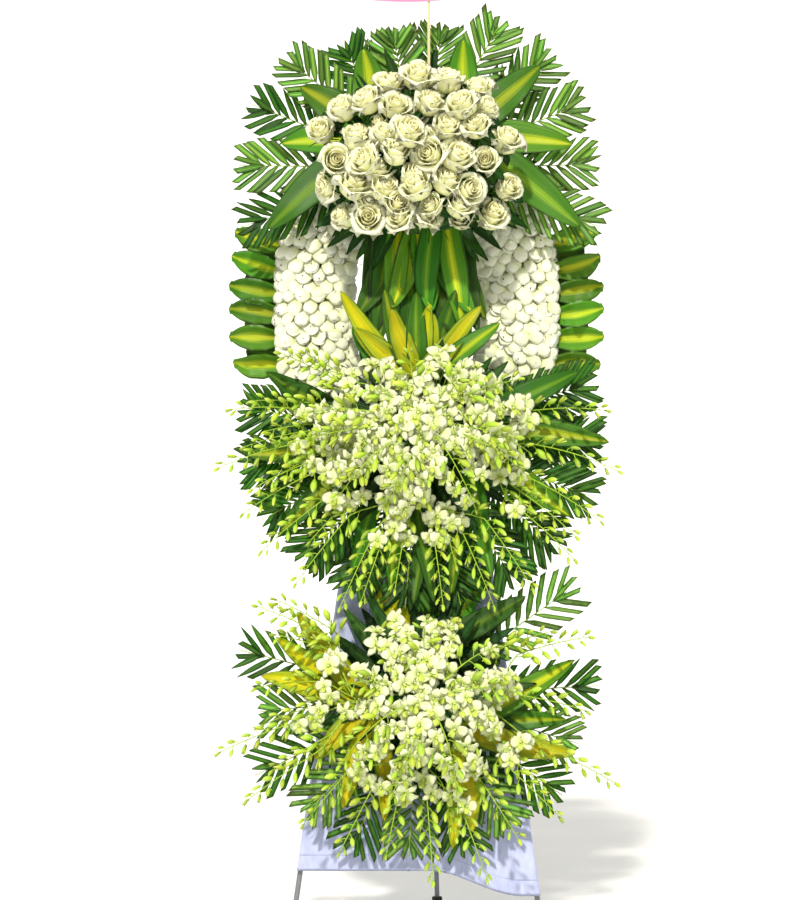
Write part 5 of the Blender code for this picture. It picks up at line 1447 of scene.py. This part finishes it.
def add_heads(florets, buds):
    """The dense orchid heads: florets and buds over a dome, stems that lie over them, dark leaves behind that
    also stand in for painted shade.
    """
    backing = shelf("collar_leaf_kinds", [toothed_leaf(0.2), toothed_leaf(0.6)])
    for name, tier, offset, half, arms, seed in HEADS:
        draw = random.Random(600 + seed)
        base = hub(tier, FOAM_DEPTH + HEAD_PROUD) + (offset[0], 0, offset[1])
        spots, closed, stems = [], [], []
        for centre, axis in head_places(base, half, arms, random.Random(seed)):
            size = FLORET_RADIUS * draw.uniform(0.85, 1.12)
            spots.append((centre, axis, UP + stray(draw, 0.8, -0.3, 0.3), size, draw.randrange(4)))
            root = base + (centre - base) * 0.45 - FORWARD * 0.03
            stems.append((bowed(root, (root + centre) / 2 - axis * 0.02, centre, 5), FLORET_STALK))
            if draw.random() < 0.4:
                aside, long = square_to(axis, draw), BUD_LENGTH * draw.uniform(0.7, 1.05)
                place = centre + aside * size * 0.75 + axis * draw.uniform(-0.008, 0.006)
                closed.append((place, axis + aside * 0.5 - UP * 0.5, UP, long, draw.randrange(4)))
                stems.append((np.array([root, (root + place) / 2, place]), CLOSED_STALK))
        for path in head_stems(base, half, HEAD_STEMS[tier], draw):
            more, _, stalks = buds_along(path, HEAD_FIRST_BUD, draw)
            closed += more
            stems += [(path, SPRAY_STEM * np.linspace(0.9, 0.45, len(path))), *stalks]
        layers = ("palm_back", "palm_front", "leaf_back", "leaf_front")
        around = collar(tier, layers, *HEAD_COLLAR, draw)
        parts = [
            copies(name + "_florets", spots, florets, FLORET, seed),
            copies(name + "_buds", closed, buds, BUD, seed),
            copies(name + "_collar", around, backing, ROSE_LEAF, seed),
            tubes(name + "_stems", stems, SPRAY_STEM_GREEN),
        ]
        piece(parts, "orchids", name)


def spray_point(tier, peg_angle, angle, reach, droop, bulge, share):
    """A stem leaves its peg, swings to its own angle, then comes forward past the foam and droops."""
    begin = FOAM_RADIUS + PEG_PROUD * 0.4
    radius = begin + (reach - begin) * share
    turn = disc_turn(peg_angle + (angle - peg_angle) * float(smooth_step(share / 0.45)))
    forward = bulge * float(smooth_step((radius - SPRAY_FREE_RADIUS) / 0.15))
    return hub(tier, LAYERS["spray"] + forward) + turn * radius - UP * droop * share * share


def spray_stems(tier, stems, draw):
    """Each stem of the model, and beside it shorter ones, more of them in the middle tier."""
    several = []
    for angle, reach, droop in stems:
        several.append((angle, reach, droop, SPRAY_BULGE))
        for side in (-1, 1):
            if draw.random() <= BESIDE_CHANCE[tier]:
                beside, shorter = angle + side * draw.uniform(4.5, 8.0), reach * draw.uniform(0.74, 0.95)
                several.append((beside, shorter, droop, SPRAY_BULGE + draw.uniform(-0.03, 0.012)))
    return several


def add_sprays(florets, buds):
    """The loose orchid sprays: drooping stems of buds with a few florets near their start."""
    for seed, (name, tier, peg_angle, stems) in enumerate(SPRAYS):
        draw = random.Random(700 + seed)
        lines, closed, opened = [], [], []
        for stem_plan in spray_stems(tier, stems, draw):
            shares = np.linspace(0, 1, 15)
            path = np.array([spray_point(tier, peg_angle, *stem_plan, share) for share in shares])
            lines.append((path, SPRAY_STEM * np.linspace(1.0, 0.45, len(path))))
            for share in FLORET_SHARES:
                if draw.random() < FLORET_CHANCE[tier]:
                    foot, ahead = along_path(path, share + draw.uniform(-0.04, 0.04))
                    aside = np.cross(ahead, FORWARD) * draw.uniform(-0.020, 0.020)
                    size = FLORET_RADIUS * draw.uniform(0.85, 1.1)
                    place = foot + aside + FORWARD * draw.uniform(0.008, 0.030)
                    facing = unit(FORWARD + stray(draw, 0.7, -0.9, 0.3))
                    opened.append((place, facing, UP + aside * 20, size, draw.randrange(4)))
            grown_buds, shares, stalks = buds_along(path, FIRST_BUD, draw)
            lines += stalks
            for bud, share in zip(grown_buds, shares):
                if share < 0.50 and draw.random() < 0.25:
                    size = FLORET_RADIUS * draw.uniform(0.8, 1.0)
                    facing = unit(FORWARD + bud[1] * 0.5)
                    opened.append((bud[0], facing, UP + bud[1] * 0.3, size, draw.randrange(4)))
                else:
                    closed.append(bud)
        parts = [
            copies(name + "_buds", closed, buds, BUD, seed),
            copies(name + "_florets", opened, florets, FLORET, seed),
            tubes(name + "_stems", lines, SPRAY_STEM_GREEN, 5),
        ]
        piece(parts, "orchid_buds", name)


def add_orchids():
    """The shapes of florets and buds, and the heads and sprays that are made of them."""
    kinds = ((1, 0.05), (2, 0.20), (3, -0.15), (4, 0.12))
    florets = shelf("floret_kinds", [orchid_floret(*kind) for kind in kinds])
    closed = [plump_bud(0.10, 1.0), plump_bud(0.18, 0.85), plump_bud(0.04, 1.12)]
    buds = shelf("bud_kinds", [*closed, opening_bud(0.12)])
    add_heads(florets, buds)
    add_sprays(florets, buds)


def leg_x(z):
    """Distance of a front leg's centre from the middle, at a height in the display's frame."""
    return LEG_FOOT_X + (LEG_TOP_X - LEG_FOOT_X) * z / LEG_TOP_Z


def cloth_hem(share):
    """Height of the hem, where share runs from 0 at the left leg to 1 at the right one."""
    flap = np.clip((share - 0.55) / 0.45, 0.0, 1.0)
    return CLOTH_HEM - CLOTH_FLAP_DROP * np.sin(math.pi * np.minimum(1.0, flap * 1.15) * 0.5) ** 2


def cloth_relief(x, z, share):
    """How far the cloth stands out: soft folds towards the hem, creases where it was folded and pulled."""
    folds = 0.006 * smooth_step((0.40 - z) / 0.18) * (0.5 - 0.5 * np.cos(2 * math.pi * 3 * share))
    hub_x, hub_z, _ = TIERS["lower"]
    clear = smooth_step((np.hypot(x - hub_x, z - hub_z) - FOAM_RADIUS - 0.01) / 0.05)
    creases = np.zeros_like(x)
    for slant, pitch, deep, shift in CREASES:
        run = x * slant + z + 0.012 * np.sin(x * 21 + shift * 3)
        ridge = np.abs(np.sin(math.pi * run / pitch + shift))
        creases += deep * (1 - ridge) ** 2 * (0.5 + 0.5 * np.sin(x * 9 + z * 7 + shift))
    near_rail = np.minimum.reduce([np.abs(z - height) for height in RAILS.values()])
    return folds + clear * creases * smooth_step(near_rail / 0.03 + 0.25)


def cloth_side(edge, side, depth):
    """The cloth from one edge of its front, round a small corner and backwards past the leg."""
    rows = []
    for k in range(1, 7):
        turn = min(1.0, k / 3) * math.pi / 2
        deep = CLOTH_CORNER * (1 - math.cos(turn)) + max(0.0, k - 3) / 3 * (depth - CLOTH_CORNER)
        rows.append(edge + (side * CLOTH_CORNER * math.sin(turn), deep, 0))
    return np.stack(rows if side > 0 else rows[::-1], axis=1)


def add_cloth():
    """A sheet across the fronts of the rails that turns back round both legs, hemmed along its foot."""
    middle_y = WREATH_BACK - CLOTH_THICKNESS / 2
    wrap = ROD_RADIUS + 2 * GAP + CLOTH_THICKNESS / 2
    share, level = np.meshgrid(np.linspace(0, 1, CLOTH_COLUMNS), np.linspace(0, 1, CLOTH_LEVELS))
    z = CLOTH_TOP + (cloth_hem(share) - CLOTH_TOP) * level
    x = (leg_x(z) + wrap - CLOTH_CORNER) * (2 * share - 1)
    left, right = (np.sin(math.pi * np.clip(run * 12, 0, 0.5)) for run in (share, 1 - share))
    front = np.stack([x, middle_y - cloth_relief(x, z, share) * left * right, z], axis=-1)
    depth = CLOTH_EDGE_Y - middle_y
    sides = cloth_side(front[:, 0], -1, depth), cloth_side(front[:, -1], 1, depth)
    grid = np.concatenate([sides[0], front, sides[1]], axis=1)
    skirt = direct("cloth_skirt_sheet", [skin(lean(grid), CLOTH_THICKNESS * 0.8)], CLOTH)
    seam = front[-1] + UP * SEAM_RISE
    for k, point in enumerate(seam):
        nearest = np.argmin(np.abs(front[:, k, 2] - point[2]))
        point[1] = front[nearest, k, 1] - STITCH_PROUD
    stitches = tubes("cloth_skirt_hem_stitch", [(seam, STITCH_RADIUS)], CLOTH_THREAD)
    whole = piece([skirt, stitches], "cloth", "cloth_skirt")


def add_easel():
    """Smooth rods over the frame's plain ones, weld beads at their crossings and moulded feet."""
    bead = lathe([(0, -0.5), (0.7, -0.42), (1.0, -0.15), (1.0, 0.15), (0.7, 0.42), (0, 0.5)], 12)
    beads = shelf("weld_kinds", [[bead]])
    for name, side in (("front_leg_left", -1), ("front_leg_right", 1)):
        path = np.array([(side * leg_x(z), 0, z) for z in (FOOT_HEIGHT + 0.001, 0.6, 1.2, LEG_TOP_Z)])
        rod = tubes(name + "_rod", [(path, ROD_RADIUS)], STEEL, ROD_SIDES)
        places = [(side * leg_x(z), RAIL_Y / 2, z) for z in RAILS.values()]
        welds = [(np.array(place), (1, 0, 0), FORWARD, WELD_SIZE, 0) for place in places]
        piece([rod, copies(name + "_welds", welds, beads, STEEL)], "steel", name)
    for name, z in RAILS.items():
        half, end = leg_x(z) + RAIL_OVERHANG, ROD_RADIUS - BEVEL
        path = np.array([(x, RAIL_Y, z) for x in (-half, BEVEL - half, 0, half - BEVEL, half)])
        radii = [end, ROD_RADIUS, ROD_RADIUS, ROD_RADIUS, end]
        piece([tubes(name + "_rod", [(path, radii)], STEEL, ROD_SIDES)], "steel", name)
    _, depth, height = APEX_PLATE
    top = turned((0, ROD_RADIUS + 2 * GAP + depth, LEG_TOP_Z - APEX_DROP - height / 2))
    foot = np.array((REAR_FOOT_X, top[1] + REAR_REACH, 0.0))
    path = np.array([foot + (top - foot) * share for share in (FOOT_HEIGHT * 1.05 / top[2], 0.3, 0.7, 0.997)])
    piece([tubes("rear_leg_rod", [(path, ROD_RADIUS)], STEEL, ROD_SIDES, upright=True)], "steel", "rear_leg")
    profile = [(0, 0.0), (0.88, 0.0), (1.0, 0.10), (1.0, 0.34), (0.93, 0.42), (0.93, 0.55), (0.99, 0.62)]
    profile += [(0.97, 0.90), (0.86, 1.0), (0, 1.0)]
    ferrule = shelf("foot_kinds", [[lathe(profile, 24)]])
    for name in ("foot_left", "foot_right", "foot_rear"):
        low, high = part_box(name)
        place = np.array(((low.x + high.x) / 2, (low.y + high.y) / 2, 0.0)) - SHIFT
        spot = (place, UP, (1, 0, 0), (FOOT_RADIUS, FOOT_HEIGHT, FOOT_RADIUS), 0)
        piece([copies(name + "_ferrule", [spot], ferrule, RUBBER, upright=True)], "foot_rubber", name)


def oval(inset, y):
    """A ring of points round the card, some way in from its edge."""
    turns = np.arange(CARD_SIDES) * 2 * math.pi / CARD_SIDES
    x = CARD_X + (CARD_HALF_WIDTH - inset) * np.cos(turns)
    z = CARD_Z + (CARD_HALF_HEIGHT - inset) * np.sin(turns)
    return np.stack([x, np.full(CARD_SIDES, y), z], axis=-1)


def ringed(rings, poles=()):
    """A closed shape through rings of points, ended by two poles or, without them, joined end to end."""
    points = np.concatenate([*rings, np.array(poles).reshape(-1, 3)])
    following = [(k, (k + 1) % CARD_SIDES) for k in range(CARD_SIDES)]
    faces = []
    for r in range(len(rings) - 1 if poles else len(rings)):
        a, b = r * CARD_SIDES, (r + 1) % len(rings) * CARD_SIDES
        faces += [(a + k, a + n, b + n, b + k) for k, n in following]
    if poles:
        first, end = len(rings) * CARD_SIDES, (len(rings) - 1) * CARD_SIDES
        faces += [(first, n, k) for k, n in following]
        faces += [(first + 1, end + k, end + n) for k, n in following]
    return Shape(lean(points), faces, np.zeros((len(points), 2)), np.zeros(len(points)))


def add_card():
    """A blank oval card with a raised, deeper pink border, on its bamboo stick."""
    stick_y = TIERS["top"][2] - LAYERS["spray"]
    heights, widths = [TIERS["top"][1] + FOAM_RADIUS - STICK_DEPTH], [1.0]
    for node in BAMBOO_NODES:
        heights += [node - 0.006, node - 0.002, node + 0.002, node + 0.007]
        widths += [0.93, 1.0, 0.97, 0.92]
    path = np.array([(STICK_X, stick_y, z) for z in (*heights, STICK_TOP)])
    radii = STICK_RADIUS * np.array([*widths, 0.9])
    piece([tubes("card_stick_cane", [(path, radii)], CANE, 14)], "bamboo", "card_stick")
    back = stick_y - STICK_RADIUS - GAP
    front = back - CARD_THICKNESS
    face = front + CARD_SUNK
    body = [(CARD_CHAMFER, back), (0.0, back - 0.0008), (0.0, front + CARD_CHAMFER), (0.0008, face)]
    body += [(CARD_BORDER, face)]
    rim = [(0.0010, front + 0.0010), (0.0016, front), (CARD_BORDER - CARD_CHAMFER, front)]
    rim += [(CARD_BORDER, front + 0.0010)]
    poles = [(CARD_X, back, CARD_Z), (CARD_X, face, CARD_Z)]
    card = direct("message_card_face", [ringed([oval(*ring) for ring in body], poles)], CARD)
    edge = direct("message_card_border", [ringed([oval(*ring) for ring in rim])], CARD_RIM)
    piece([card, edge], "card", "message_card")


def dress_kept_nodes():
    """The foam discs, the ring and the apex plate keep their shapes and get real finishes."""
    for name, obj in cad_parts.items():
        finish = FOAM if "foam" in name else STEEL if name == "apex_plate" else None
        if finish:
            for slot in obj.material_slots:
                slot.material = finish


# The stage


def plain_sheet(name, corners, finish):
    """One flat face that is part of the stage."""
    mesh = bpy.data.meshes.new(name)
    mesh.from_pydata(corners, [], [(0, 1, 2, 3)])
    mesh.materials.append(finish)
    linked(name, mesh)


def add_stage():
    """A pale floor and backdrop, an even sky, one soft light from the front and the camera of the photo."""
    plain, far, high = studio_floor(), STAGE_REACH, STAGE_HEIGHT
    plain_sheet("floor", [(-far, -far, 0), (far, -far, 0), (far, far, 0), (-far, far, 0)], plain)
    plain_sheet("backdrop", [(-far, far, 0), (far, far, 0), (far, far, high), (-far, far, high)], plain)
    scene = bpy.context.scene
    scene.world = bpy.data.worlds.new("pale_studio")
    scene.world.use_nodes = True
    feed(scene.world.node_tree.nodes["Background"], Color=linear("FBFBF6"), Strength=SKY_STRENGTH)
    scene.view_settings.view_transform = "Standard"
    lamp = bpy.data.lights.new("key", "SUN")
    lamp.energy, lamp.angle, lamp.color = KEY_POWER, KEY_SPREAD, linear("FFFAEC")[:3]
    linked("key", lamp).rotation_euler = Vector(KEY_DIRECTION).to_track_quat("-Z", "Y").to_euler()
    camera = linked("camera", bpy.data.cameras.new("camera"))
    camera.location = CAMERA_PLACE
    camera.rotation_euler = (math.radians(90), 0, 0)
    camera.data.lens = CAMERA_LENS
    camera.data.sensor_width = CAMERA_SENSOR
    scene.camera = camera


add_easel()
add_cloth()
dress_kept_nodes()
add_wreath_petals()
add_rim_leaves()
add_palms()
add_broad_leaves()
add_roses()
add_orchids()
add_card()
add_stage()
